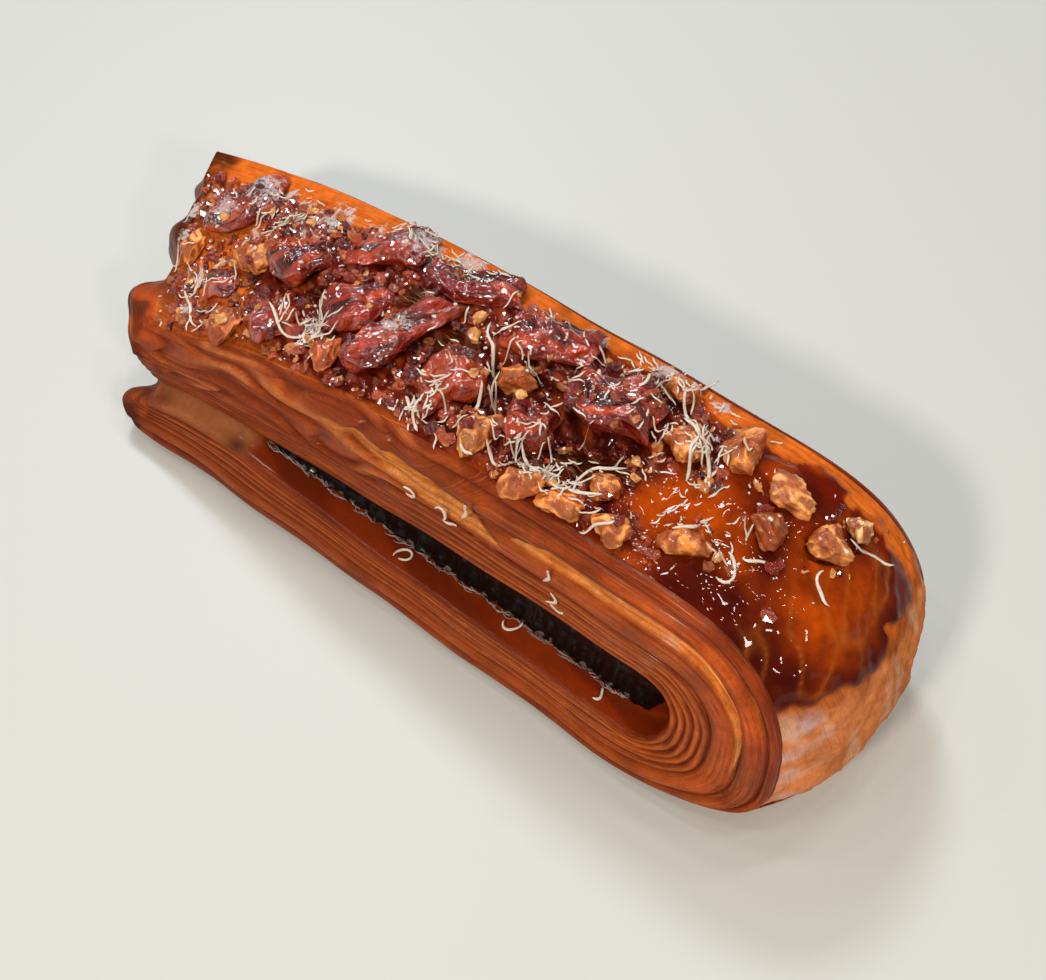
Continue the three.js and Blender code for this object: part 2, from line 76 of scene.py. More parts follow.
# s runs along the sheet (0 to 1 the upper leaf from the open end, 1 to 2 the fold, 2 to 3 the lower leaf
# back to the open end), t through its thickness (0 inside, 1 outside), v across it (-1 near, 1 far).
sheet = {
    "foldStart": 33.0, "foldCentreZ": 17.0, "reachNear": 27.2, "reachMiddle": 34.2, "reachFar": 29.5,
    "reachPower": 2.4, "lean": 0.07, "leanFrom": 10.0, "powerUpper": 0.82, "powerLower": 0.7, "lift": 5.0,
    "slotReach": 9.0, "slotPower": 0.85, "crown": 2.4, "splitAt": 1.62,
    "topNear": [(-92, 13), (-78, 16), (-62, 22.4), (-50, 28.5), (-34, 33.5), (-20, 36.5), (0, 39.2), (33, 40.6)],
    "topFar": [(-92, 25), (-80, 29.6), (-57, 35.8), (-34, 39.2), (-15, 40.4), (33, 40.4)],
    "slotRoof": [(-92, 9.6), (-70, 9.6), (-62, 11.9), (-54, 13.8), (-45, 14.9), (-38, 15.6), (-28, 16.8),
                 (-16, 18.4), (-5, 20.2), (12, 21.6), (24, 22.4), (33, 22)],
    "slotFloor": [(-92, 8.4), (-70, 8.4), (-62, 10.7), (-54, 12.6), (-45, 13.7), (-38, 13.4), (-28, 12.6),
                  (-10, 11.6), (12, 11.2), (33, 10.4)],
}
# The open end is a slanted plane with waves, and one lobe on each leaf as y, width and reach.
openEnd = {"x": -70.0, "y": -22.0, "skew": 0.44, "round": 1.6, "lobes": 1.5, "pitch": 10.4,
           "upper": {"inset": 2.0, "shift": 0.5, "lobe": (-13.0, 5.5, 4.4)},
           "lower": {"inset": 3.2, "shift": 4.5, "lobe": (-21.0, 4.0, 2.2)}}
nearSide = {"upper": -17.2, "upperTilt": 0.5, "upperEdge": 3.4, "lower": -21.2, "belly": -1.6, "lowerTilt": -0.6}
farSide = {"upper": 20.6, "upperTilt": -0.4, "upperEdge": -1.2, "lower": 20.8, "belly": 1.4, "lowerTilt": 0.4}
# Layers at the cut sides from inside to outside: their edges in t, how far each stands out, the finer leaves in it
# and its rows of points; they are faint towards the open end.
layers = {
    "edges": [0, 0.08, 0.16, 0.24, 0.32, 0.41, 0.7, 0.91, 1], "rise": [0.8, 0.75, 0.85, 0.7, 0.9, 1.15, 1.2, 0.8],
    "splits": [1, 1, 1, 1, 2, 5, 4, 2], "samples": [8, 7, 7, 7, 8, 20, 15, 9], "leafRise": 0.16,
    "changeFrom": 1.1, "changeTo": 1.95, "faint": 0.4, "faintFrom": 0.45, "faintTo": 0.8,
    "wander": 0.012, "wanderLong": 9.0, "wanderShort": 23.0, "apart": 31.7, "nearSeed": 3, "farSeed": 7,
}
flakes = {"length": 4.2, "slant": 0.2, "wave": 1.7, "height": 0.8}
underRise = {"end": 1.6, "endFrom": -58.0, "endTo": -84.0, "edge": 0.9, "edgeFrom": 0.82}
hollows = [
    {"x": -3.0, "y": -1.0, "z": 45.4, "length": 26.0, "width": 6.5, "height": 8.0, "turn": 0.0},
    {"x": 50.6, "y": 8.6, "z": 42.6, "length": 7.6, "width": 3.2, "height": 4.6, "turn": 62.0},
]
leafLength = 103.0
foldLength = 72.0
leafDepth = 20.0


def mix(a, b, k):
    # The value that lies the share k of the way from a to b.
    return a + (b - a) * k


def join(*values):
    # Values side by side along a new last axis.
    return np.stack(values, -1)


def smooth(start, end, value):
    # 0 at the start, 1 at the end, with an even slope at both.
    k = np.clip((value - start) / (end - start), 0.0, 1.0)
    return k * k * (3.0 - 2.0 * k)


def bell(value, middle, width):
    # 1 at the middle, about a third one width away, then towards 0.
    return np.exp(-((value - middle) / width) ** 2)


def curve(x, knots):
    # Cubic through knots whose slope at each one is the harmonic mean of the slopes beside it.
    kx, kz = np.array(knots, float).T
    slopes = np.diff(kz) / np.diff(kx)
    product = slopes[:-1] * slopes[1:]
    total = slopes[:-1] + slopes[1:]
    inner = np.where(product > 0, 2 * product / np.where(product > 0, total, 1.0), 0.0)
    tangents = np.concatenate([slopes[:1], inner, [0.0]])
    at = np.clip(x, kx[0], kx[-1])
    i = np.clip(np.searchsorted(kx, at, side="left") - 1, 0, len(kx) - 2)
    h = kx[i + 1] - kx[i]
    u = (at - kx[i]) / h
    w = 1 - u
    return ((1 + 2 * u) * w * w * kz[i] + u * w * w * h * tangents[i]
            + u * u * (3 - 2 * u) * kz[i + 1] - u * u * w * h * tangents[i + 1])


def softNoise(points, size, seed, waves=12):
    # Sum of sines in seeded directions with wavelengths round one size, about -2 to 2.
    rng = np.random.default_rng(seed)
    turns = rng.normal(size=(waves, points.shape[-1]))
    turns /= np.linalg.norm(turns, axis=1, keepdims=True)
    turns *= (2 * math.pi / size) * rng.uniform(0.65, 1.5, (waves, 1))
    phases = rng.uniform(0, 2 * math.pi, waves)
    return np.sin(points @ turns.T + phases).sum(-1) * math.sqrt(2 / waves)


def ridgeNoise(points, size, seed, waves=9):
    # One minus the size of soft noise: narrow crests with round valleys, 0 to 1.
    return 1 - np.minimum(1.0, np.abs(softNoise(points, size, seed, waves)))


def flowAt(s):
    # Millimetres along the sheet from the open end of the upper leaf.
    return leafLength * np.minimum(s, 1) + foldLength * np.clip(s - 1, 0, 1) + leafLength * np.clip(s - 2, 0, 1)


def layerPlace(t):
    # Which layer a depth lies in, and how far through that layer.
    edges = np.array(layers["edges"], float)
    i = np.clip(np.searchsorted(edges, t, side="right") - 1, 0, len(edges) - 2)
    return i, np.clip((t - edges[i]) / (edges[i + 1] - edges[i]), 0, 1)


def layerStrength(s):
    # How strongly the layers show: faint at the open end of the upper leaf, in full past it.
    return mix(layers["faint"], 1.0, smooth(layers["faintFrom"], layers["faintTo"], s))


def leafCrest(s, t, seed):
    # Crests of the finer leaves inside a layer: the size of a sine whose lines wander along the sheet.
    i, u = layerPlace(t)
    splits = np.array(layers["splits"])[i]
    along = join(flowAt(s) * 0.5, i * layers["apart"], np.full_like(s, seed * 5.1))
    bend = 0.16 * softNoise(along, 14.0, seed + 1)
    return np.abs(np.sin(math.pi * (splits * u + bend * (splits > 1)))) ** 0.7


def flakeStep(flow, depth, seed):
    # Torn flakes that overlap: a slanted, wavy coordinate cut into steps that rise slowly and fall at once, 0 to 1.
    place = join(flow * 0.3, depth)
    q = (depth + flakes["slant"] * flow + flakes["wave"] * softNoise(place, 9.0, seed + 6)) / flakes["length"]
    rise = q - np.floor(q)
    return smooth(0, 0.75, rise) * smooth(1, 0.86, rise)


def ridgeShape(u):
    # Root of half a sine: a layer with a rounded crest and steep grooves beside it.
    return np.sqrt(np.maximum(0, np.sin(math.pi * u)))


def layerRelief(s, t, seed):
    # Each layer stands out by its ridge, changed along its length, with finer leaves and torn flakes on it.
    i, u = layerPlace(t)
    flow = flowAt(s)
    along = join(flow, i * layers["apart"], np.full_like(flow, seed * 5.1))
    rise = np.array(layers["rise"])[i] * (1 + 0.1 * softNoise(along, 26.0, seed))
    torn = smooth(0.72, 0.55, s) * smooth(0.2, 0.4, t) * smooth(1, 0.9, t)
    creases = flakes["height"] * (flakeStep(flow, t * leafDepth, seed) - 0.5) * torn
    finer = (np.array(layers["splits"])[i] > 1) * smooth(0, 0.1, u) * smooth(1, 0.9, u)
    leaves = layers["leafRise"] * (1 + 0.4 * softNoise(along, 18.0, seed + 2)) * finer
    opened = openLens(flow, t) * (seed == layers["nearSeed"]) * lensShape["depth"]
    return (rise * ridgeShape(u) + leaves * (leafCrest(s, t, seed) - 0.6)) * layerStrength(s) + creases - opened


def sideY(side, s, t):
    # Where a cut side lies: tilted and curved in the upper leaf, bellied in the lower, mixed over the fold.
    low = smooth(layers["changeFrom"], layers["changeTo"], s)
    upper = side["upper"] + side["upperTilt"] * t + side["upperEdge"] * t ** 4
    lower = side["lower"] + side["belly"] * np.sin(0.8 * math.pi * t) + side["lowerTilt"] * t
    return mix(upper, lower, low)


def endLine(y):
    # The slanted line of the open end, in plan.
    return openEnd["x"] - openEnd["skew"] * (y - openEnd["y"])


def openEndX(y, t, upper):
    # The slanted line of the open end, rounded through the sheet, with its waves and its lobe.
    leaf = openEnd["upper" if upper else "lower"]
    roundness = 1 - (2 * t - 1) ** 2
    wave = 1 + np.sin((2 * math.pi * (y + leaf["shift"])) / openEnd["pitch"])
    lobeY, lobeWidth, lobeReach = leaf["lobe"]
    bulge = lobeReach * bell(y, lobeY, lobeWidth)
    return endLine(y) + leaf["inset"] - roundness * (openEnd["round"] + openEnd["lobes"] * wave + bulge)


def topHeight(x, v):
    # A curve along the near edge and one along the far edge, mixed across the bar, with a crown between them.
    return mix(curve(x, sheet["topNear"]), curve(x, sheet["topFar"]), (1 + v) / 2) + sheet["crown"] * (1 - v * v)


def underHeight(x, v):
    # The underside rises towards the open end and at its long edges.
    return (underRise["end"] * smooth(underRise["endFrom"], underRise["endTo"], x)
            + underRise["edge"] * smooth(underRise["edgeFrom"], 1, np.abs(v)))


def foldReachAt(v):
    # How far the fold reaches past its start: most in the middle, less towards each cut side by a power.
    side = np.where(v < 0, sheet["reachNear"], sheet["reachFar"])
    return mix(sheet["reachMiddle"], side, np.minimum(1, np.abs(v)) ** sheet["reachPower"])


def sheetPoint(s, t, v, lift, near, far):
    # The upper leaf, the fold (two half ellipses, inside and outside) and the lower leaf, mixed by t.
    # lift moves a point out of the sheet in millimetres; near and far are the reliefs of the cut sides.
    y = mix(sideY(nearSide, s, t) - near, sideY(farSide, s, t) + far, (1 + v) / 2)
    waves = np.sin(layers["wanderLong"] * s + 5 * t) + 0.6 * np.sin(layers["wanderShort"] * s + 1)
    k = t + layers["wander"] * np.sin(math.pi * t) * waves + lift / leafDepth
    start = sheet["foldStart"]
    upperX = mix(openEndX(y, t, True), start, np.minimum(s, 1))
    lowerX = mix(start, openEndX(y, t, False), np.clip(s - 2, 0, 1))
    upperZ = mix(curve(upperX, sheet["slotRoof"]), topHeight(upperX, v), k)
    lowerZ = mix(curve(lowerX, sheet["slotFloor"]), underHeight(lowerX, v), k)
    turn = math.pi / 2 - math.pi * (np.clip(s, 1, 2) - 1)
    c = np.maximum(0, np.cos(turn))
    n = np.sin(turn)
    roof = float(curve(start, sheet["slotRoof"]))
    floor = float(curve(start, sheet["slotFloor"]))
    innerX = start + sheet["slotReach"] * c ** sheet["slotPower"]
    innerZ = (roof + floor) / 2 + ((roof - floor) / 2) * np.sign(n) * np.abs(n) ** sheet["slotPower"]
    power = np.where(n > 0, sheet["powerUpper"], sheet["powerLower"])
    middle = sheet["foldCentreZ"]
    height = np.where(n > 0, topHeight(start, v) - middle, middle - underHeight(start, v))
    outerZ = middle + height * np.sign(n) * np.abs(n) ** power + sheet["lift"] * c * np.maximum(0, -n)
    outerX = start + foldReachAt(v) * c ** power - sheet["lean"] * (outerZ - sheet["leanFrom"]) * c
    x = np.where(s <= 1, upperX, np.where(s >= 2, lowerX, mix(innerX, outerX, k)))
    z = np.where(s <= 1, upperZ, np.where(s >= 2, lowerZ, mix(innerZ, outerZ, k)))
    return join(x, y, z)


def acrossAt(s, y):
    # v at a place across the top.
    near = sideY(nearSide, s, 1.0)
    far = sideY(farSide, s, 1.0)
    return np.clip(2 * (y - near) / (far - near) - 1, -1.15, 1.15)


def skinHeight(x, y):
    # Height of the top skin over a place in plan; past the fold's start it is found in a few rounds.
    start, middle = sheet["foldStart"], sheet["foldCentreZ"]
    v = acrossAt(0.5, y)
    flat = topHeight(np.minimum(x, start), v)
    z = topHeight(start, v)
    for _ in range(4):
        c = (x - start + sheet["lean"] * (z - sheet["leanFrom"])) / foldReachAt(v)
        c = np.clip(c, 0, 1) ** (1 / sheet["powerUpper"])
        v = acrossAt(1.5 - np.arccos(c) / math.pi, y)
        z = middle + (topHeight(start, v) - middle) * np.maximum(0, 1 - c * c) ** (sheet["powerUpper"] / 2)
    return np.where(x <= start, flat, z)


def hollowFloor(hollow, x, y):
    # The lower half of an ellipsoid; far above everything outside it.
    a = math.radians(hollow["turn"])
    along = (x - hollow["x"]) * math.cos(a) + (y - hollow["y"]) * math.sin(a)
    across = (y - hollow["y"]) * math.cos(a) - (x - hollow["x"]) * math.sin(a)
    spread = (along / hollow["length"]) ** 2 + (across / hollow["width"]) ** 2
    return np.where(spread < 1, hollow["z"] - hollow["height"] * np.sqrt(np.maximum(0, 1 - spread)), 1e3)


def surfaceHeight(x, y):
    # The top skin, or the floor of a hollow where that is lower.
    z = skinHeight(x, y)
    for hollow in hollows:
        z = np.minimum(z, hollowFloor(hollow, x, y))
    return z


# Meshes

def blockShell(a, b, c):
    # Skin of a lattice with the steps a, b and c: the place of each corner, the squares, and their side
    # (0 and 1 the ends of a, 2 and 3 of b, 4 and 5 of c).
    counts = (len(a), len(b), len(c))
    inside = np.zeros(counts, bool)
    inside[1:-1, 1:-1, 1:-1] = True
    number = np.full(counts, -1)
    number[~inside] = np.arange(int((~inside).sum()))
    i, j, k = np.nonzero(~inside)
    squares = []
    sides = []
    for axis in range(3):
        for end in (0, 1):
            face = np.moveaxis(number, (axis, (axis + 1) % 3, (axis + 2) % 3), (0, 1, 2))[-end]
            quads = join(face[:-1, :-1], face[1:, :-1], face[1:, 1:], face[:-1, 1:]).reshape(-1, 4)
            squares.append(quads if end else quads[:, ::-1])
            sides.append(np.full(len(quads), 2 * axis + end))
    return np.asarray(a)[i], np.asarray(b)[j], np.asarray(c)[k], np.concatenate(squares), np.concatenate(sides)


def ballGrid(rows, columns):
    # A ball of directions: along 0 to 1 from pole to pole, around 0 to 1, closed at both poles.
    i, j = np.meshgrid(np.arange(1, rows), np.arange(columns), indexing="ij")
    along = np.concatenate([[0.0], (i / rows).ravel(), [1.0]])
    around = np.concatenate([[0.0], (j / columns).ravel(), [0.0]])
    at = 1 + (np.arange(rows - 1)[:, None] * columns + np.arange(columns))
    nextAt = np.roll(at, -1, axis=1)
    last = len(along) - 1
    squares = join(at[:-1], at[1:], nextAt[1:], nextAt[:-1]).reshape(-1, 4)
    top = join(np.zeros(columns, int), at[0], nextAt[0])
    bottom = join(np.full(columns, last), nextAt[-1], at[-1])
    return along, around, squares, np.concatenate([top, bottom])


def tubeGrid(steps, ring):
    # Numbers of a closed tube: squares along its side, and one face at each end.
    at = np.arange(steps * ring).reshape(steps, ring)
    nextAt = np.roll(at, -1, axis=1)
    squares = join(at[:-1], nextAt[:-1], nextAt[1:], at[1:]).reshape(-1, 4)
    return squares, at[0][::-1], at[-1]


def signedVolume(points, squares):
    # Six times the volume inside, below 0 where the faces look inwards.
    p = points[squares]
    one = np.einsum("ij,ij->i", p[:, 0], np.cross(p[:, 1], p[:, 2]))
    other = np.einsum("ij,ij->i", p[:, 0], np.cross(p[:, 2], p[:, 3]))
    return float((one + other).sum())


def makePiece(name, points, squares, materials, triangles=None, faceMaterials=None, attributes=None,
              replaces=None):
    # A mesh in metres from points in millimetres, faces outwards, with its named values on the points.
    faces = np.asarray(squares)
    more = [] if triangles is None else np.asarray(triangles)
    if signedVolume(points, faces) < 0:
        faces = faces[:, ::-1]
        more = more[:, ::-1] if len(more) else more
    mesh = bpy.data.meshes.new(name)
    places = (points + ownMiddle) * millimetre
    mesh.from_pydata(places.tolist(), [], faces.tolist() + [list(face) for face in more])
    for material in materials:
        mesh.materials.append(material)
    if faceMaterials is not None:
        slots = np.concatenate([faceMaterials, np.zeros(len(more))]).astype(np.int32)
        mesh.polygons.foreach_set("material_index", slots)
    mesh.polygons.foreach_set("use_smooth", np.ones(len(mesh.polygons), bool))
    for key, values in (attributes or {}).items():
        values = np.asarray(values, float)
        kind, word = ("FLOAT", "value") if values.ndim == 1 else ("FLOAT_VECTOR", "vector")
        mesh.attributes.new(key, kind, "POINT").data.foreach_set(word, values.ravel())
    mesh.update()
    piece = bpy.data.objects.new(name, mesh)
    bpy.context.scene.collection.objects.link(piece)
    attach(piece, "root")
    if replaces:
        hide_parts(replaces)
    return piece


# Colours

def linear(color):
    # Linear light from a screen colour of 0 to 255.
    c = np.array(color, float) / 255
    return np.where(c <= 0.04045, c / 12.92, ((c + 0.055) / 1.055) ** 2.4)


def tint(base, color, mask):
    # Mixes a screen colour into a colour by a mask.
    return base + (linear(color) - base) * np.clip(mask, 0, 1)[..., None]


def layTones(color, tones, **masks):
    # Lays named tones over a colour one after the other, each by its mask.
    for name, mask in masks.items():
        color = tint(color, tones[name], mask)
    return color


def filled(color, like):
    # The same colour on every point.
    return linear(color) * np.ones(like.shape + (3,))


def patch(points, size, seed, start, end):
    # Soft noise as a mask: 0 at the start value and 1 at the end value.
    return smooth(start, end, softNoise(points, size, seed))


def spots(x, y, rows):
    # The largest of round soft spots given as x, y and radius.
    found = np.zeros_like(x)
    for spotX, spotY, radius in rows:
        found = np.maximum(found, np.exp(-(((x - spotX) ** 2 + (y - spotY) ** 2) / radius ** 2)))
    return found


def edgeAt(x, knots):
    # Straight lines between knots.
    return np.interp(x, *np.array(knots, float).T)


# Node helpers and shared groups; a value may be a constant or another node's socket

def setInput(tree, socket, value):
    # Links a socket to another one, or sets its constant; a colour gets its fourth value here.
    if isinstance(value, bpy.types.NodeSocket):
        tree.links.new(value, socket)
    else:
        socket.default_value = (*value, 1.0) if socket.type == "RGBA" else value


def addNode(tree, kind, inputs=None, **settings):
    node = tree.nodes.new(kind)
    for key, value in settings.items():
        setattr(node, key, value)
    for key, value in (inputs or {}).items():
        setInput(tree, node.inputs[key], value)
    return node


def mathNode(tree, operation, a, b=0.0, clamped=False):
    return addNode(tree, "ShaderNodeMath", {0: a, 1: b}, operation=operation, use_clamp=clamped).outputs[0]


def scaled(tree, value, factor):
    return mathNode(tree, "MULTIPLY", value, factor)


def mixColors(tree, factor, a, b):
    return addNode(tree, "ShaderNodeMix", {0: factor, 6: a, 7: b}, data_type="RGBA").outputs[2]


def remap(tree, value, low, high, toLow=0.0, toHigh=1.0):
    return addNode(tree, "ShaderNodeMapRange", {0: value, 1: low, 2: high, 3: toLow, 4: toHigh}).outputs[0]


def newGroup(name, inputs, outputs):
    # Each socket comes with its kind, or as a float with its start value.
    group = bpy.data.node_groups.new(name, "ShaderNodeTree")
    for socketName, kind in inputs.items():
        word = "Float" if isinstance(kind, float) else kind
        made = group.interface.new_socket(socketName, in_out="INPUT", socket_type="NodeSocket" + word)
        if word != kind:
            made.default_value = kind
    for socketName, kind in outputs.items():
        group.interface.new_socket(socketName, in_out="OUTPUT", socket_type="NodeSocket" + kind)
    return group, group.nodes.new("NodeGroupInput").outputs, group.nodes.new("NodeGroupOutput").inputs


def noiseNode(tree, vector, scale, detail=4.0, roughness=0.55, distortion=0.0):
    return addNode(tree, "ShaderNodeTexNoise", {
        "Vector": vector, "Scale": scale, "Detail": detail, "Roughness": roughness, "Distortion": distortion,
    }).outputs["Fac"]


def makeMottle():
    # Darkens a colour in patches by noise of two sizes and puts out a height.
    group, given, out = newGroup("mottle", {
        "Vector": "Vector", "Color": "Color", "Dark": "Color", "Size": 300.0, "Amount": 0.5,
    }, {"Color": "Color", "Height": "Float"})
    large = noiseNode(group, given["Vector"], given["Size"], 3.0, 0.6)
    fine = noiseNode(group, given["Vector"], scaled(group, given["Size"], 5.3), 3.0, 0.6)
    both = mathNode(group, "ADD", scaled(group, large, 0.6), scaled(group, fine, 0.4))
    mask = mathNode(group, "MULTIPLY", remap(group, both, 0.62, 0.38), given["Amount"], True)
    setInput(group, out["Color"], mixColors(group, mask, given["Color"], given["Dark"]))
    setInput(group, out["Height"], both)
    return group


def makeStreaks():
    # Fine streaks along the sheet: noise stretched along the flow and tight through the depth.
    group, given, out = newGroup("streaks", {
        "Sheet": "Vector", "Color": "Color", "Dark": "Color", "Light": "Color", "Amount": 0.5,
    }, {"Color": "Color", "Height": "Float"})
    wide = addNode(group, "ShaderNodeMapping", {"Vector": given["Sheet"], "Scale": (0.07, 2.2, 0.9)})
    thin = addNode(group, "ShaderNodeMapping", {"Vector": given["Sheet"], "Scale": (0.16, 7.0, 2.5)})
    wideNoise = noiseNode(group, wide.outputs[0], 1.0, 4.0, 0.6, 0.3)
    thinNoise = noiseNode(group, thin.outputs[0], 1.0, 3.0, 0.6, 0.2)
    both = mathNode(group, "ADD", scaled(group, wideNoise, 0.5), scaled(group, thinNoise, 0.5))
    dark = mathNode(group, "MULTIPLY", remap(group, both, 0.5, 0.33), given["Amount"], True)
    light = mathNode(group, "MULTIPLY", remap(group, both, 0.52, 0.68), given["Amount"], True)
    darkened = mixColors(group, dark, given["Color"], given["Dark"])
    setInput(group, out["Color"], mixColors(group, light, darkened, given["Light"]))
    setInput(group, out["Height"], both)
    return group


def makeFilm():
    # A thin dry film: a pale colour where a mask and fine broken noise meet.
    group, given, out = newGroup("dryFilm", {
        "Vector": "Vector", "Color": "Color", "Film": "Color", "Mask": 0.0, "Size": 900.0,
    }, {"Color": "Color", "Mask": "Float"})
    broken = noiseNode(group, given["Vector"], given["Size"], 5.0, 0.7)
    edge = mathNode(group, "SUBTRACT", mathNode(group, "ADD", broken, given["Mask"]), 1.0)
    mask = remap(group, edge, 0.0, 0.12, 0.0, 0.8)
    setInput(group, out["Color"], mixColors(group, mask, given["Color"], given["Film"]))
    setInput(group, out["Mask"], mask)
    return group


mottleGroup = makeMottle()
streakGroup = makeStreaks()
filmGroup = makeFilm()


def useGroup(tree, group, **inputs):
    return addNode(tree, "ShaderNodeGroup", inputs, node_tree=group).outputs


def objectPlace(tree):
    return addNode(tree, "ShaderNodeTexCoord").outputs["Object"]


def finishOf(tree):
    # The three values of the attribute finish.
    return addNode(tree, "ShaderNodeSeparateXYZ", {0: attribute(tree, "finish")}).outputs


def attribute(tree, name, output="Vector"):
    return addNode(tree, "ShaderNodeAttribute", attribute_name=name, attribute_type="GEOMETRY").outputs[output]


def bumpNode(tree, height, distance, strength):
    return addNode(tree, "ShaderNodeBump", {"Height": height, "Distance": distance, "Strength": strength}).outputs[0]


def feed(tree, shader, **values):
    # Links or constants for the shader; underscores stand for the spaces in the names of its sockets.
    for key, value in values.items():
        setInput(tree, shader.inputs[key.replace("_", " ")], value)


def newMaterial(name, viewColor, **constants):
    material = bpy.data.materials.new(name)
    material.use_nodes = True
    material.diffuse_color = (*linear(viewColor), 1.0)
    shader = material.node_tree.nodes["Principled BSDF"]
    feed(material.node_tree, shader, **constants)
    return material, material.node_tree, shader


def makeCutMaterial():
    # Cut side of the dough: the colour on the points, streaked along the layers.
    material, tree, shader = newMaterial("doughCut", (180, 100, 50), IOR=1.45, Specular_IOR_Level=0.12,
                                         Coat_Weight=0.3, Coat_Roughness=0.2, Coat_IOR=1.33)
    streaks = useGroup(tree, streakGroup, Sheet=attribute(tree, "sheet"), Color=attribute(tree, "cutColor"),
                       Dark=linear((96, 36, 8)), Light=linear((240, 150, 72)),
                       Amount=attribute(tree, "streakAmount", "Fac"))
    grain = useGroup(tree, mottleGroup, Vector=objectPlace(tree), Color=streaks["Color"],
                     Dark=linear((110, 42, 12)), Size=520.0, Amount=0.4)
    height = mathNode(tree, "ADD", scaled(tree, streaks["Height"], 1.6), grain["Height"])
    feed(tree, shader, Base_Color=grain["Color"], Normal=bumpNode(tree, height, 0.0006, 0.7),
         Roughness=remap(tree, streaks["Height"], 0.3, 0.7, 0.34, 0.56))
    return material


def makeSkinMaterial():
    # Top skin: finish holds how glazed it is, how much dry film lies on it and how strong its streaks are.
    material, tree, shader = newMaterial("doughSkin", (130, 50, 18), IOR=1.47, Specular_IOR_Level=0.0,
                                         Coat_Roughness=0.04, Coat_IOR=1.36)
    place = objectPlace(tree)
    glazed, filmed, streaked = finishOf(tree)
    streaks = useGroup(tree, streakGroup, Sheet=attribute(tree, "skinSheet"), Color=attribute(tree, "skinColor"),
                       Dark=linear((110, 44, 16)), Light=linear((232, 150, 84)), Amount=streaked)
    mottle = useGroup(tree, mottleGroup, Vector=place, Color=streaks["Color"], Dark=linear((70, 12, 3)),
                      Size=160.0, Amount=0.4)
    film = useGroup(tree, filmGroup, Vector=place, Color=mottle["Color"], Film=linear((206, 194, 188)),
                    Mask=filmed, Size=900.0)
    clear = mathNode(tree, "SUBTRACT", 1.0, film["Mask"])
    height = mathNode(tree, "ADD", mottle["Height"], scaled(tree, streaks["Height"], 0.6))
    feed(tree, shader, Base_Color=film["Color"], Normal=bumpNode(tree, height, 0.0005, 0.55),
         Coat_Weight=scaled(tree, mathNode(tree, "MULTIPLY", glazed, clear, True), 0.7),
         Roughness=remap(tree, glazed, 0.0, 1.0, 0.5, 0.26))
    return material


def makeFillingMaterial():
    # Almost black, with a pale dry film that the second value of finish lays on its lower rim.
    material, tree, shader = newMaterial("darkFilling", (14, 9, 9), IOR=1.45, Specular_IOR_Level=0.12,
                                         Coat_Weight=0.3, Coat_Roughness=0.1, Coat_IOR=1.33)
    place = objectPlace(tree)
    film = useGroup(tree, filmGroup, Vector=place, Color=linear((12, 6, 5)), Film=linear((110, 98, 90)),
                    Mask=finishOf(tree)[1], Size=1100.0)
    feed(tree, shader, Base_Color=film["Color"],
         Normal=bumpNode(tree, noiseNode(tree, place, 700.0, 4.0, 0.6), 0.0003, 0.25),
         Roughness=remap(tree, film["Mask"], 0.0, 1.0, 0.3, 0.6))
    return material


def makeBaconMaterial():
    # Candied bacon: the colour on the points, fibres along the piece, a sticky coat with powder on it.
    material, tree, shader = newMaterial("candiedBacon", (120, 42, 40), IOR=1.45, Specular_IOR_Level=0.5,
                                         Coat_Weight=1.0, Coat_Roughness=0.08, Coat_IOR=1.75, Subsurface_Weight=0.12,
                                         Subsurface_Scale=0.0015, Subsurface_Radius=(1.0, 0.3, 0.15))
    place = objectPlace(tree)
    fibres = useGroup(tree, streakGroup, Sheet=attribute(tree, "sheet"), Color=attribute(tree, "pieceColor"),
                      Dark=linear((46, 6, 8)), Light=linear((224, 112, 66)), Amount=0.5)
    mottle = useGroup(tree, mottleGroup, Vector=place, Color=fibres["Color"], Dark=linear((66, 10, 10)),
                      Size=260.0, Amount=0.45)
    film = useGroup(tree, filmGroup, Vector=place, Color=mottle["Color"], Film=linear((205, 190, 190)),
                    Mask=attribute(tree, "powder", "Fac"), Size=1300.0)
    grains = noiseNode(tree, place, 620.0, 2.0, 0.5)
    height = mathNode(tree, "ADD", scaled(tree, fibres["Height"], 0.5), grains)
    feed(tree, shader, Base_Color=film["Color"], Normal=bumpNode(tree, height, 0.0012, 0.9),
         Roughness=remap(tree, film["Mask"], 0.0, 1.0, 0.15, 0.6))
    return material


def makeMottled(name, viewColor, color, dark, size, amount, bump, **constants):
    # A plain mottled material: color is a screen colour or the name of an attribute, bump a distance and strength.
    material, tree, shader = newMaterial(name, viewColor, **constants)
    mottle = useGroup(tree, mottleGroup, Vector=objectPlace(tree), Dark=linear(dark), Size=size, Amount=amount,
                      Color=attribute(tree, color) if isinstance(color, str) else linear(color))
    feed(tree, shader, Base_Color=mottle["Color"])
    if bump:
        feed(tree, shader, Normal=bumpNode(tree, mottle["Height"], *bump))
    return material


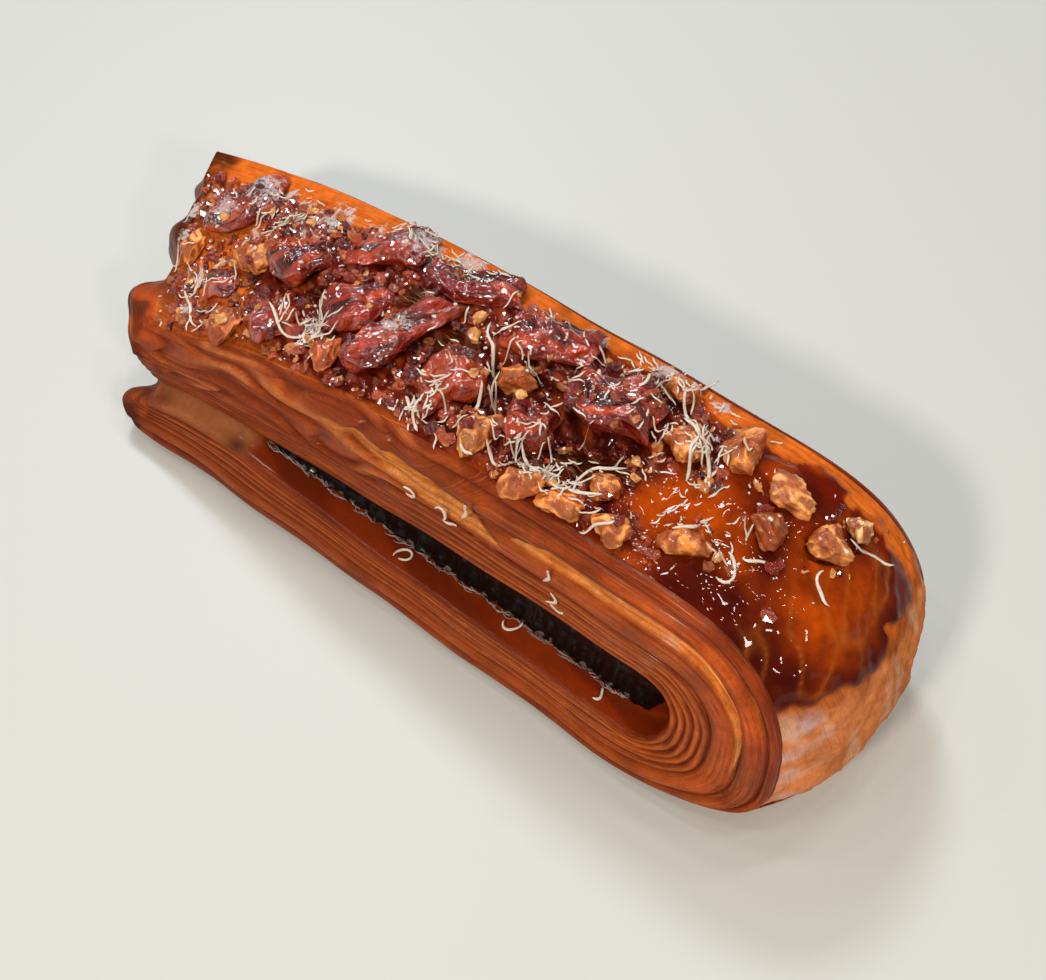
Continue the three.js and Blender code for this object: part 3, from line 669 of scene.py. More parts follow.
cutMaterial = makeCutMaterial()
skinMaterial = makeSkinMaterial()
fillingMaterial = makeFillingMaterial()
baconMaterial = makeBaconMaterial()
innerMaterial = makeMottled(  # slot floor and roof: moist brown crumb
    "doughInside", (120, 66, 34), "cutColor", (96, 34, 8), 160.0, 0.4, (0.0006, 0.5), IOR=1.45, Roughness=0.42,
    Specular_IOR_Level=0.1, Coat_Weight=0.3, Coat_Roughness=0.1, Coat_IOR=1.33)
nutMaterial = makeMottled(
    "walnut", (205, 150, 92), "pieceColor", (156, 70, 18), 300.0, 0.7, (0.0008, 0.8), IOR=1.46, Roughness=0.5,
    Coat_Weight=0.35, Coat_Roughness=0.14)
cheeseMaterial = makeMottled(
    "gratedCheese", (236, 222, 204), (236, 222, 206), (206, 160, 128), 400.0, 0.6, (0.0004, 0.6), IOR=1.45,
    Roughness=0.5, Subsurface_Weight=0.25, Subsurface_Scale=0.001)
frayMaterial = makeMottled(
    "filmFrays", (150, 140, 132), (168, 156, 148), (84, 66, 58), 500.0, 0.8, None, Roughness=0.55)
print("materials made")


# Dough

# Glaze: its edges as knots, the heights of its reliefs, and spots as x, y and radius. foldFilm is given in y and z.
# rubble holds where the candied crumbs start and end along and across, bare a place without them and its sizes.
glaze = {
    "farEdge": [(-90, 12.4), (-75, 12.4), (-51, 12.7), (-30, 13.6), (-7.5, 13.9), (10, 16.2), (21, 16.2), (31, 14.2),
                (38, 16), (47, 16), (53.5, 15.3), (58, 14.3), (70, 12.6)],
    "nearEdge": [(-90, -12.5), (-40, -12.2), (-14, -12.6), (-6, -17), (0, -30), (90, -30)],
    "foot": [(-20, 31.2), (-8.6, 31.2), (-4.7, 30.6), (1.8, 30.3), (4.4, 32.8), (7.5, 31.9), (11.7, 30.7),
             (20, 30.7)],
    "step": 0.2, "unevenness": 0.22, "blisters": 0.1, "rubbleHeight": 0.7, "foldWrinkles": 0.28,
    "rubble": [(-84, -79), (36, 24), (-14, -11), (15, 12.5)], "bare": (29, -3.5, 7, 5),
    # The holes are spots painted nearly black as shade, kept free of coat and crumbs.
    "holes": [(13.6, -4.2, 3.8), (17.6, -3.4, 3.4), (-15.8, 2, 2.2), (-41, -1, 1.6), (-26, 5.6, 1.8)],
    "amberSpots": [(53.8, -3.4, 6), (57, 4, 5), (40.4, -4.8, 3), (27, -5, 5), (34, -3, 5), (31, 0, 6), (27, -3, 5),
                   (27.5, 14, 4), (27.6, -13.5, 4), (49, 1, 5), (24, 15.5, 4)],
    "darkSpots": [(43.1, -9.7, 4), (50.3, -12.7, 5), (44.3, -1.6, 3.4), (55, -12, 4), (47, -13, 4), (54, -15, 4),
                  (38, -10, 5), (45.6, 20, 4), (63, 6, 4), (36, -14, 5), (-20, -2, 8)],
    "filmSpots": [(-58, 11.4, 6.5), (-66, 12.8, 6), (-50, 13.5, 6.5), (-62, 5, 4), (-76.6, 1.7, 4),
                  (-66.4, -9.3, 4.4), (-31.5, 14.5, 6), (-24, 17, 5), (14, 18, 5), (-38, -6.4, 4), (-23.6, -2, 4),
                  (-71, 6, 4), (-62, 14, 4), (-70, -4, 4), (-42, 14, 4), (-54, 8, 3), (2, 16, 4), (24, 17, 3),
                  (-80, 6, 4), (-78, -2, 3)],
    "foldFilm": [(-17, 21, 4), (-13, 27, 3), (-18, 12, 4)],
}


def glazeMask(p, s):
    # 1 on the glazed top: inside its far and near edges and above its foot on the fold.
    x, y, z = p.T
    wobble = 0.7 * softNoise(p, 9.0, 21) + 0.35 * softNoise(p, 3.2, 22)
    inFar = smooth(0.5, -0.5, y - edgeAt(x, glaze["farEdge"]) + wobble)
    inNear = smooth(-0.5, 0.5, y - edgeAt(x, glaze["nearEdge"]) - wobble)
    return inFar * inNear * smooth(-0.7, 0.7, z - edgeAt(y, glaze["foot"]) + 0.6 * wobble) * (s < 1.7)


def rubbleMask(p, s):
    # 1 where candied crumbs cover the top, from the open end to the start of the bare glaze on the fold.
    x, y, _ = p.T
    openSide, fold, near, far = glaze["rubble"]
    bareX, bareY, length, width = glaze["bare"]
    bare = np.exp(-(((x - bareX) / length) ** 2 + ((y - bareY) / width) ** 2))
    ragged = x + 1.5 * softNoise(p, 8.0, 23) + 14 * bare
    return smooth(*fold, ragged) * smooth(*near, y) * smooth(*far, y) * smooth(*openSide, x) * (s < 1.3)


def foldMask(x, z):
    # 1 on the skin that runs down the fold.
    return smooth(33, 29, z) * smooth(30, 44, x)


def flapMask(s, t):
    # 1 on the torn flap of the upper leaf, towards the open end.
    return smooth(0.72, 0.5, s) * smooth(0.2, 0.4, t)


def shelfMask(x, s):
    # 1 on the lower leaf left of the filling, where it stands free as a shelf.
    return smooth(-41, -45, x) * (s > 2)


def skinLift(s, t, v, p):
    # Unevenness of the glazed top, the step at its edge, its rubble, and wrinkles that run down the fold.
    mask = glazeMask(p, s)
    rubble = rubbleMask(p, s)
    across = join(flowAt(s) * 0.22, p[..., 1])
    creases = ridgeNoise(across, 11.0, 31, 5) ** 2
    foldSkin = smooth(1.3, 1.45, s) * smooth(1.86, 1.72, s) * (1 - mask)
    top = glaze["step"] * mask + glaze["unevenness"] * softNoise(p, 9.0, 33) * (0.5 + 0.5 * mask)
    top = top + glaze["blisters"] * softNoise(p, 3.0, 34) * (1 + rubble)
    top = top + glaze["rubbleHeight"] * rubble * (ridgeNoise(p, 4.2, 35) - 0.5)
    inner = smooth(1.0, 0.9, np.abs(v))
    wrinkles = glaze["foldWrinkles"] * foldSkin * (creases - 0.3)
    return (top * smooth(1.9, 1.7, s) * (0.35 + 0.65 * inner) + wrinkles) * (t > 0.999)


# The opened lens on the near side: its middle and half height in t at places along the flow, its depth, and the
# spacing of its strands.
lensShape = {"flow": [44, 56, 67, 76, 81, 82, 88, 100, 114, 126, 140],
             "middle": [0.79, 0.72, 0.64, 0.58, 0.54, 0.67, 0.72, 0.73, 0.73, 0.7, 0.66],
             "half": [0.0, 0.07, 0.12, 0.08, 0.0, 0.0, 0.065, 0.07, 0.06, 0.045, 0.0],
             "depth": 0.35, "strand": 1.3}


def openLens(flow, t):
    # 1 where the near side of the upper leaf opens and shows pale crumb: a long lens, then a narrower one.
    middle = np.interp(flow, lensShape["flow"], lensShape["middle"])
    half = np.interp(flow, lensShape["flow"], lensShape["half"])
    return smooth(0.012, -0.012, np.abs(t - middle) - half) * (half > 0.002)


# Screen colours of the cut sides; the last row multiplies all but the lens and the shelf.
# Some are painted light: shade in the grooves, the pits and above the lens, highlights on the crests, both on
# strands and flakes.
cutTones = {
    "layers": [(172, 80, 30), (186, 94, 40), (174, 84, 32), (190, 98, 44), (180, 88, 36), (206, 108, 44),
               (186, 96, 42), (168, 74, 24)],
    "warm": (226, 122, 50), "brown": (128, 54, 16), "lens": (255, 154, 62), "strand": (206, 100, 34),
    "strandPale": (255, 196, 140), "leaf": (110, 42, 10), "groove": (74, 24, 5), "lip": (58, 18, 6),
    "crest": (246, 164, 88), "flap": (176, 92, 46), "flakeDark": (98, 40, 16), "flakePale": (236, 168, 112),
    "flapBrown": (124, 50, 20), "inside": (150, 62, 14), "insideDark": (84, 26, 6), "shelf": (176, 106, 60),
    "bruise": (84, 36, 20), "end": (136, 60, 30), "under": (110, 50, 16),
    "bruises": [(-45.2, -21.5, 2.2), (-66.5, -20.5, 2.4)],
    "deep": [0.86, 0.56, 0.29],
}


def cutColors(s, t, v, p):
    # Colour of a cut side by layer, with painted shade in the grooves and painted highlights on the crests, browned
    # at the open end.
    x, y, z = p.T
    i, u = layerPlace(t)
    flow = flowAt(s)
    depth = t * leafDepth
    strength = layerStrength(s)
    along = join(flow, i * 17.3, 4 * v)
    patches = softNoise(along, 16.0, 41)
    broad = softNoise(join(flow * 0.2, depth), 8.0, 42)
    lens = openLens(flow, t) * (v < 0)
    # A painted shadow in a thin band just above the lens, as if cast by the edge over it.
    lip = openLens(flow, t - 0.045) * (1 - lens) * (v < 0)
    strands = np.sin(2 * math.pi * depth / lensShape["strand"] + 1.2 * softNoise(along, 12.0, 44))
    ridge = ridgeShape(u)
    finer = np.array(layers["splits"])[i] > 1
    crest = leafCrest(s, t, layers["nearSeed"])
    flap = flapMask(s, t) * (1 - lens)
    flake = flakeStep(flow, depth, layers["nearSeed"])
    inside = smooth(0.06, 0.0, t)
    shelf = inside * shelfMask(x, s)
    color = layTones(
        linear(np.array(cutTones["layers"], float)[i]), cutTones,
        warm=0.35 * smooth(0, 1.2, patches), brown=0.45 * smooth(0, -1.2, patches), lens=lens,
        # Strands across the lens: painted shade between them and a painted highlight on their tops.
        strand=0.6 * lens * smooth(0.2, -0.9, strands),
        strandPale=0.5 * lens * smooth(0.6, 1.0, strands) * smooth(-0.2, 0.8, patches),
        # Painted shade between the finer leaves and in the grooves between the layers.
        leaf=0.5 * finer * smooth(0.5, 0.1, crest) * (0.4 + 0.6 * strength) * (1 - lens),
        groove=0.9 * (1 - ridge) ** 1.1 * strength ** 1.6 * (1 - 0.8 * lens), lip=0.5 * lip,
        # A painted highlight on the crests of the inner layers.
        crest=0.4 * smooth(0.86, 1.0, ridge) * (i < 5) * strength, flap=0.6 * flap,
        # Painted shade at the steps of the flakes and painted highlights on their tops.
        flakeDark=0.6 * flap * smooth(0.4, 0.05, flake),
        flakePale=0.6 * flap * smooth(0.5, 1.0, flake) * smooth(-0.4, 0.9, broad),
        flapBrown=0.5 * flap * smooth(0.2, 1.2, -broad), inside=0.9 * inside,
        insideDark=0.6 * inside * patch(p * [0.4, 1, 1], 7.0, 43, 0.3, 1.3), shelf=0.95 * shelf,
        # Two small dark spots on the shelf are painted shade of pits that the mesh lacks.
        bruise=spots(x, y, cutTones["bruises"]) * shelf)
    foldBand = 0.6 * (i == 6) * smooth(20, 40, x) * smooth(14, 26, z)
    bright = mix(0.84, 1.14, smooth(-45, 48, x)) * (1 + foldBand) * (1 + 0.3 * flap)
    color = endColors(color * bright[..., None], p, cutTones["end"])
    color = tint(color, cutTones["under"], 0.5 * smooth(3.2, 0.4, z))
    lit = np.clip(lens + shelf, 0, 1)[..., None]
    return color * mix(np.array(cutTones["deep"]), 1.0, lit)


# Screen colours of the top skin; the last row multiplies the matt skin beside the glaze, but not the fold.
# Two are painted shade in part or whole: the holes and the dark crumb ground between the toppings.
skinTones = {
    "mahogany": (104, 21, 0), "amber": (196, 75, 0), "dark": (60, 6, 3), "vein": (206, 110, 34),
    "foot": (70, 14, 16),
    "grain": (96, 22, 10), "grainOrange": (168, 64, 20), "grainDark": (40, 8, 6), "grainPale": (190, 100, 76),
    "band": (246, 130, 48), "bandBrown": (170, 70, 20), "flap": (166, 80, 34), "fold": (236, 142, 84),
    "foldPale": (246, 198, 160), "foldBrown": (150, 70, 40), "foldFilm": (226, 196, 188), "hole": (8, 3, 2),
    "end": (92, 36, 26), "under": (150, 84, 40),
    "matt": [0.95, 0.8, 0.66],
}


def skinColors(s, p):
    # Colour of the top skin: mahogany to amber glaze, an orange band at the far side, pale skin down the fold.
    x, y, z = p.T
    tones = skinTones
    foot = smooth(4.5, 0.5, z - edgeAt(y, glaze["foot"])) * smooth(40, 52, x)
    sweet = layTones(
        filled(tones["mahogany"], x), tones,
        amber=np.maximum(spots(x, y, glaze["amberSpots"]), 0.55 * patch(p, 10.0, 51, 0.2, 1.6)),
        dark=0.92 * np.maximum(spots(x, y, glaze["darkSpots"]), 0.5 * patch(p, 8.0, 52, 0.3, 1.6)),
        vein=0.45 * ridgeNoise(p, 8.0, 60, 5) ** 4 * smooth(1.1, 1.2, s),
        foot=0.8 * foot * patch(p, 6.0, 64, -1.2, 0.6))
    # The ground under the crumbs is dark maroon: the crumbs' colour, darker partly as painted shade in the gaps
    # between the pieces.
    grains = layTones(
        filled(tones["grain"], x), tones, grainOrange=patch(p, 3.4, 56, 0.7, 1.5),
        grainDark=patch(p, 4.4, 57, 0.2, 1.2), grainPale=0.6 * patch(p, 3.0, 58, 1.0, 1.6))
    sweet = mix(sweet, grains, (0.9 * rubbleMask(p, s))[..., None])
    matt = layTones(
        filled(tones["band"], x), tones, bandBrown=0.4 * patch(p, 7.0, 53, 0.1, 1.4),
        flap=smooth(-4, -9, y) * smooth(6, -10, x))
    pale = layTones(
        filled(tones["fold"], x), tones,
        foldPale=0.5 * patch(join(flowAt(s) * 0.2, y), 5.0, 54, 0.5, 1.5),
        foldBrown=0.7 * smooth(27.5, 31, z + softNoise(p, 5.0, 59)),
        foldFilm=0.8 * spots(y, z, glaze["foldFilm"]) * patch(p, 4.8, 68, -0.9, 1.2))
    onFold = foldMask(x, z)[..., None]
    matt = mix(matt, pale, onFold) * mix(np.array(tones["matt"]), 1.0, onFold)
    color = mix(matt, sweet, glazeMask(p, s)[..., None])
    # Nearly black spots at the holes: painted shade that stands for deep pits in the glaze.
    color = tint(color, tones["hole"], spots(x, y, glaze["holes"]) ** 0.6)
    return tint(endColors(color, p, tones["end"]), tones["under"], smooth(1.8, 1.95, s))


# Lumps at the open end: y, z, their half widths, how far they stand out of the end and how far up.
endLumps = [
    (17, 27, 3.5, 5, 0.4, 0.7), (9.5, 25, 2.6, 6, -0.9, 0.1), (2.2, 24, 3, 5, 1.9, 0.8),
    (-3.6, 20, 2.2, 8, -1.2, -0.2), (-12, 16, 4.4, 6, 2.2, 1.7), (-19.6, 13, 3.4, 5, -3.0, -0.4),
    (-17.5, 8, 3, 3, 1.0, 0), (-8, 20, 2.6, 5, 0.6, 0.6), (-21, 4.5, 3.4, 3.6, 1.8, 0.7), (-12, 4, 3, 4, -0.6, 0),
    (0, 5, 4, 4, 1.0, 0.2), (12, 5, 4, 4, 0.8, 0.2),
]
endTones = {"orange": (206, 112, 56), "rosy": (170, 100, 70), "bright": (240, 120, 46), "burnt": (44, 14, 10),
            "corner": (84, 32, 18), "rim": (66, 24, 14)}

# Spots on the open end in y and z, those of the corner in x and y.
endSpots = {"rosy": [(-7.5, 19, 3.2), (-17.5, 11, 3.2), (7, 24, 2.4)],
            "bright": [(-13.5, 16, 2.8), (-11, 20, 2), (-10.5, 13, 2)],
            "burnt": [(2.4, 25, 3), (-3.8, 17, 3), (17, 27, 5), (-15.5, 7, 2.6), (-20, 1, 3)],
            "corner": [(-86, 18, 6.5), (-82, 10, 4), (-78, 3, 3)]}


def endLobes(s, t, p):
    # Rolled lumps and notches at the open end, fading along the sheet, with a little soft noise.
    distance = np.minimum(s, 3 - s) * leafLength
    near = np.exp(-(distance / 5.5) ** 1.4) * (0.45 + 0.55 * np.sqrt(np.maximum(0, 1 - (2 * t - 1) ** 2)))
    out = 0.25 * softNoise(join(p[:, 1], p[:, 2] * 0.8), 6.0, 63)
    up = np.zeros_like(out)
    for y, z, halfY, halfZ, lumpOut, lumpUp in endLumps:
        reach = np.exp(-(((p[:, 1] - y) / halfY) ** 2 + ((p[:, 2] - z) / halfZ) ** 2))
        out += lumpOut * reach
        up += lumpUp * reach
    moved = join(-out, np.zeros_like(out), up * smooth(0.5, 3.0, p[:, 2]))
    return moved * near[:, None]


def endColors(color, p, base):
    # Browned open end: dark glossy crust with brown, orange and nearly black lobes; the largest lobe's orange is
    # partly a painted highlight.
    x, y, z = p.T
    inward = x - endLine(y) + 1.7 * softNoise(p, 6.0, 55)
    end = smooth(9, 1, inward)
    color = tint(color, base, 0.85 * end)
    return layTones(
        color, endTones, orange=0.5 * end * patch(p, 5.0, 65, 0.5, 1.4),
        # The bright spots on the largest lobe: partly orange crust, partly a painted highlight.
        rosy=0.8 * end * spots(y, z, endSpots["rosy"]), bright=0.9 * end * spots(y, z, endSpots["bright"]),
        burnt=0.9 * end * spots(y, z, endSpots["burnt"]),
        corner=0.9 * spots(x, y, endSpots["corner"]) * (z > 16) * patch(p, 4.0, 67, -1.2, 0.2),
        rim=0.8 * smooth(2, -1, inward) * patch(p, 6.0, 66, 0.9, -0.6))


def layerDepths():
    # The depths of the rows of points, a little closer together at the edges of each layer.
    rows = []
    for samples, low, high in zip(layers["samples"], layers["edges"], layers["edges"][1:]):
        even = np.linspace(0, 1, samples + 1)[:-1]
        rows.append(low + (high - low) * mix(even, (1 - np.cos(math.pi * even)) / 2, 0.6))
    return np.concatenate(rows + [[1.0]])


# Rows of points along and across the sheet, and the material on each side of the block: its two ends, the inside,
# the outside and the two cut sides.
doughSteps = {"along": 276, "acrossUpper": 70, "acrossLower": 68, "materials": [0, 0, 2, 1, 0, 0]}


def doughPart(name, steps, acrossCount):
    # A run of the sheet as a closed block with relief at its cut sides; its colours and finish lie on the points.
    s, t, v, squares, sides = blockShell(steps, layerDepths(), np.linspace(-1, 1, acrossCount))
    near = layerRelief(s, t, layers["nearSeed"])
    far = layerRelief(s, t, layers["farSeed"])
    rough = sheetPoint(s, t, v, 0.0, near, far)
    points = sheetPoint(s, t, v, skinLift(s, t, v, rough), near, far)
    edge = smooth(0.9, 1.0, np.abs(v)) * np.sign(v)
    points[:, 1] += 0.12 * edge * softNoise(rough, 22.0, 71)
    points = points + endLobes(s, t, points)
    shelf = (t < 0.001) * shelfMask(points[:, 0], s)
    points[:, 2] += 0.9 * shelf * smooth(-21, -17.4, points[:, 1]) ** 2
    top = (t > 0.999) & (s < 1.5)
    for hollow in hollows:
        floor = hollowFloor(hollow, points[:, 0], points[:, 1]) + 0.35 * softNoise(points, 3.0, 61)
        points[:, 2] = np.where(top, np.minimum(points[:, 2], floor), points[:, 2])
    x, y, z = points.T
    flow = flowAt(s)
    depth = t * leafDepth
    slant = flakes["slant"] * flow * smooth(0.75, 0.6, s) * smooth(0.25, 0.45, t)
    glazed = glazeMask(rough, s) * (1 - spots(x, y, glaze["holes"]) ** 0.5)
    film = 0.66 * spots(x, y, glaze["filmSpots"]) * (s < 1.4)
    skinStreaks = np.where(glazed > 0.5, 0.03, 0.6 - 0.35 * foldMask(x, z))
    calm = flapMask(s, t) + smooth(2.3, 2.5, s)
    attributes = {
        "sheet": join(flow, depth + slant, v * 20), "streakAmount": mix(0.45, 0.16, calm),
        "skinSheet": join(flow, y, depth), "cutColor": cutColors(s, t, v, points),
        "skinColor": skinColors(s, points), "finish": join(glazed, film, skinStreaks),
    }
    makePiece(name, points, squares, [cutMaterial, skinMaterial, innerMaterial], attributes=attributes,
              faceMaterials=np.array(doughSteps["materials"])[sides], replaces="dough")


doughPart("doughUpper", np.linspace(0, sheet["splitAt"], doughSteps["along"]), doughSteps["acrossUpper"])
doughPart("doughLower", np.linspace(sheet["splitAt"], 3, doughSteps["along"]), doughSteps["acrossLower"])

seam = {"near": -15.9, "far": 17.6, "end": -42.6, "inset": 4.0, "overlap": 0.7, "wave": 0.3,
        "color": (132, 68, 32), "dark": (60, 28, 16)}


def makeSeam():
    # The web where the two leaves are pressed together, left of the filling.
    a, b, c, squares, _ = blockShell(np.linspace(0, 1, 60), np.linspace(-1, 1, 4), np.linspace(0, 1, 60))
    y = mix(seam["near"], seam["far"], c) + seam["wave"] * np.sin(44 * a) * (2 * c - 1)
    x = mix(openEndX(y, 0.5, True) + seam["inset"], seam["end"], a)
    roof, floor = curve(x, sheet["slotRoof"]), curve(x, sheet["slotFloor"])
    points = join(x, y, (roof + floor) / 2 + ((roof - floor) / 2 + seam["overlap"]) * b)
    colors = tint(filled(seam["color"], x), seam["dark"], patch(points, 5, 81, 0.2, 1.2))
    makePiece("pressedSeam", points, squares, [innerMaterial], attributes={"cutColor": colors})


makeSeam()
print("dough made")


# Filling

filling = {"from": -41.5, "to": 37.5, "near": -15.7, "far": 17.6, "skirt": 1.4, "gap": 0.35, "bubbles": 0.03}


def slotSpan(x):
    # Middle and half height of the slot; past the fold's start it closes like half an ellipse.
    at = np.minimum(x, sheet["foldStart"])
    half = (curve(at, sheet["slotRoof"]) - curve(at, sheet["slotFloor"])) / 2
    c = np.clip((x - sheet["foldStart"]) / sheet["slotReach"], 0, 1) ** (1 / sheet["slotPower"])
    return curve(at, sheet["slotFloor"]) + half, half * (1 - c * c) ** (sheet["slotPower"] / 2)


def makeFilling():
    # A slab as high as the slot, with a ragged skirt at its lower edge and bubbles at both cut sides.
    a, height, c, squares, _ = blockShell(np.linspace(0, 1, 300), np.linspace(-1, 1, 26), np.linspace(0, 1, 26))
    base = mix(filling["from"], filling["to"], a)
    middle, half = slotSpan(base)
    x = base + 1.6 * (1 - height * height) * (a > 0.999)
    ragged = 0.22 * np.sin(1.3 * x) + 0.16 * np.sin(2.9 * x + 1)
    skirt = filling["skirt"] * ((1 - height) / 2) ** 3 + ragged * (1 - height) * 0.35
    y = mix(filling["near"] - skirt, filling["far"] + skirt, c)
    points = join(x, y, middle + height * (half - filling["gap"]))
    side = smooth(0.1, 0.0, np.minimum(c, 1 - c)) * np.sign(c - 0.5)
    points[:, 1] += side * filling["bubbles"] * (softNoise(points, 3.4, 91) + 0.4 * softNoise(points, 1.4, 92))
    rim = 0.62 * smooth(-0.66, -0.92, height) * (0.75 + 0.25 * softNoise(points, 2.0, 93))
    finish = join(np.ones_like(x), rim, np.zeros_like(x))
    makePiece("fillingSlab", points, squares, [fillingMaterial], attributes={"finish": finish},
              replaces="filling")


makeFilling()
print("filling made")


# Bacon and walnut pieces: x, y, length, width, height, turn in degrees, sink

baconPieces = [
    (-68.5, 9.4, 13.5, 9.5, 3.6, 35, 0.8), (-62, -4.6, 6.4, 5.4, 3.4, 34, 0.8), (-48.2, 2.8, 9.6, 7.6, 4.6, 52, 0.8),
    (-45, -7.4, 8, 6, 3.8, 60, 0.8), (-35.4, 12.2, 13, 7.4, 4, 30, 0.8), (-32.4, -0.9, 11.4, 7.2, 4.6, 50, 0.8),
    (-22.8, -1.8, 18, 6, 4.6, 71, 0.2), (-19.4, 12.4, 16, 6.6, 3.6, 20, 0.8), (-10.6, -4, 11, 8, 5.4, 60, 2.2),
    (-2.2, 10.4, 15, 7.8, 4.6, 18, 0.8), (5, -4.6, 7.2, 7.2, 6.4, 34, 2.2), (12.8, 5.4, 14.5, 9.2, 5, 10, 0.4),
]
nutPieces = [
    (-73.4, -0.2, 5, 5, 3.6, 39, 0.6), (-57.8, 0.6, 8.2, 4.8, 4.4, -24, 0.8), (-55, -11, 7, 5.6, 4, -16, 0.6),
    (-32, -9.4, 5.6, 5, 4, 46, 0.6), (-1.4, -9.6, 6.8, 5.8, 4.4, 62, 0.6), (-2.2, 1.4, 5.4, 4.4, 4, 55, 0.9),
    (9, -12.2, 5.6, 4.4, 3.8, 12, 0.6), (15.8, -11.6, 7, 4.4, 3.8, 10, 0.6), (24.4, -10.8, 6.4, 4.4, 3.6, 18, 0.6),
    (19.8, -6.2, 5.4, 4, 3.6, 30, 0.6), (18.6, 14.4, 5.2, 4.6, 4, 13, 0.6), (25, 6.4, 6.4, 5.4, 4.4, 30, 0.6),
    (31.6, 10.6, 7, 6.4, 4.8, 77, 0.6), (41.6, 1.6, 6.2, 5.2, 4.4, 2, 0.6), (40.6, 8.6, 8, 5, 4.4, -18, 0.6),
    (34.4, -6.8, 6.4, 4.4, 3.8, 10, 0.6), (49.2, 6, 6, 5.2, 4.6, 62, 1), (51.2, 11.6, 4.4, 3.8, 3.8, 64, 0.8),
]
clearance = {"flat": 0.46, "fold": 0.3, "foldRun": 15}

# bacon and nut hold the points along each way, the flat cuts (count, least and largest reach, flatness), the
# colours laid over a piece, and what its colour is multiplied by.
bacon = {"steps": (62, 44, 9), "cuts": (7, 0.8, 0.96, 0.7), "dark": (40, 6, 16), "glow": (255, 150, 50),
         "pale": (236, 170, 150), "rim": (206, 74, 30), "deep": [0.76, 0.27, 0.22],
         "powder": 0.16, "filmPowder": 0.46}
nut = {"steps": (34, 52), "cuts": (9, 0.66, 0.92), "skin": (150, 70, 22), "pale": (248, 204, 148),
       "wrinkle": (104, 42, 14), "speck": (150, 78, 34), "deep": [1.5, 1.14, 0.84]}

# Meat and fat colours of each bacon piece, and how much of it is fat.
baconLooks = [
    ((112, 34, 36), (150, 66, 60), 0.3), ((132, 36, 22), (196, 88, 40), 0.4), ((100, 26, 32), (142, 56, 58), 0.3),
    ((160, 44, 24), (214, 96, 44), 0.5), ((148, 44, 30), (212, 104, 50), 0.5), ((140, 38, 28), (206, 90, 58), 0.5),
    ((162, 52, 36), (220, 112, 78), 0.6), ((112, 36, 38), (176, 84, 72), 0.4), ((166, 66, 8), (236, 140, 30), 0.8),
    ((134, 38, 20), (196, 88, 42), 0.45), ((124, 16, 12), (160, 44, 28), 0.25), ((116, 30, 28), (214, 104, 40), 0.5),
]

# Meat colour of each walnut piece, and how much of it is covered by skin.
nutLooks = [
    ((236, 160, 72), 0.2), ((232, 166, 92), 0.25), ((222, 140, 62), 0.4), ((206, 112, 56), 0.4),
    ((232, 176, 100), 0.25), ((226, 156, 82), 0.3), ((222, 150, 70), 0.3), ((236, 156, 62), 0.25),
    ((232, 166, 84), 0.25), ((226, 158, 80), 0.3), ((236, 184, 112), 0.25), ((240, 180, 106), 0.2),
    ((232, 168, 88), 0.25), ((122, 64, 36), 0.8), ((236, 180, 112), 0.2), ((236, 164, 76), 0.25),
    ((232, 172, 100), 0.3), ((246, 222, 176), 0.1),
]


def placePiece(row, along, across, up):
    # Turns a piece's own coordinates into the bar's and keeps its underside clear of the dough.
    x, y, _, _, _, turn, sink = row
    a = math.radians(turn)
    px = x + along * math.cos(a) - across * math.sin(a)
    py = y + along * math.sin(a) + across * math.cos(a)
    base = 0.35 * float(skinHeight(np.array([x]), np.array([y]))[0]) + 0.65 * skinHeight(px, py) - sink
    gap = clearance["flat"] + clearance["fold"] * smooth(0, clearance["foldRun"], px - sheet["foldStart"])
    return join(px, py, np.maximum(base + up, surfaceHeight(px, py) + gap))


def cutFlat(own, middle, seed, count, low, high, flatness=1.0):
    # Cuts flat faces on a lump: what lies past each seeded plane is pushed back onto it.
    rng = np.random.default_rng(seed)
    cut = own - middle
    for _ in range(count):
        normal = rng.normal(size=3) * [1, 1, flatness]
        normal /= np.linalg.norm(normal)
        reach = cut @ normal
        limit = reach.max() * rng.uniform(low, high)
        cut = cut - np.maximum(0, reach - limit)[:, None] * normal * 0.92
    return cut + middle


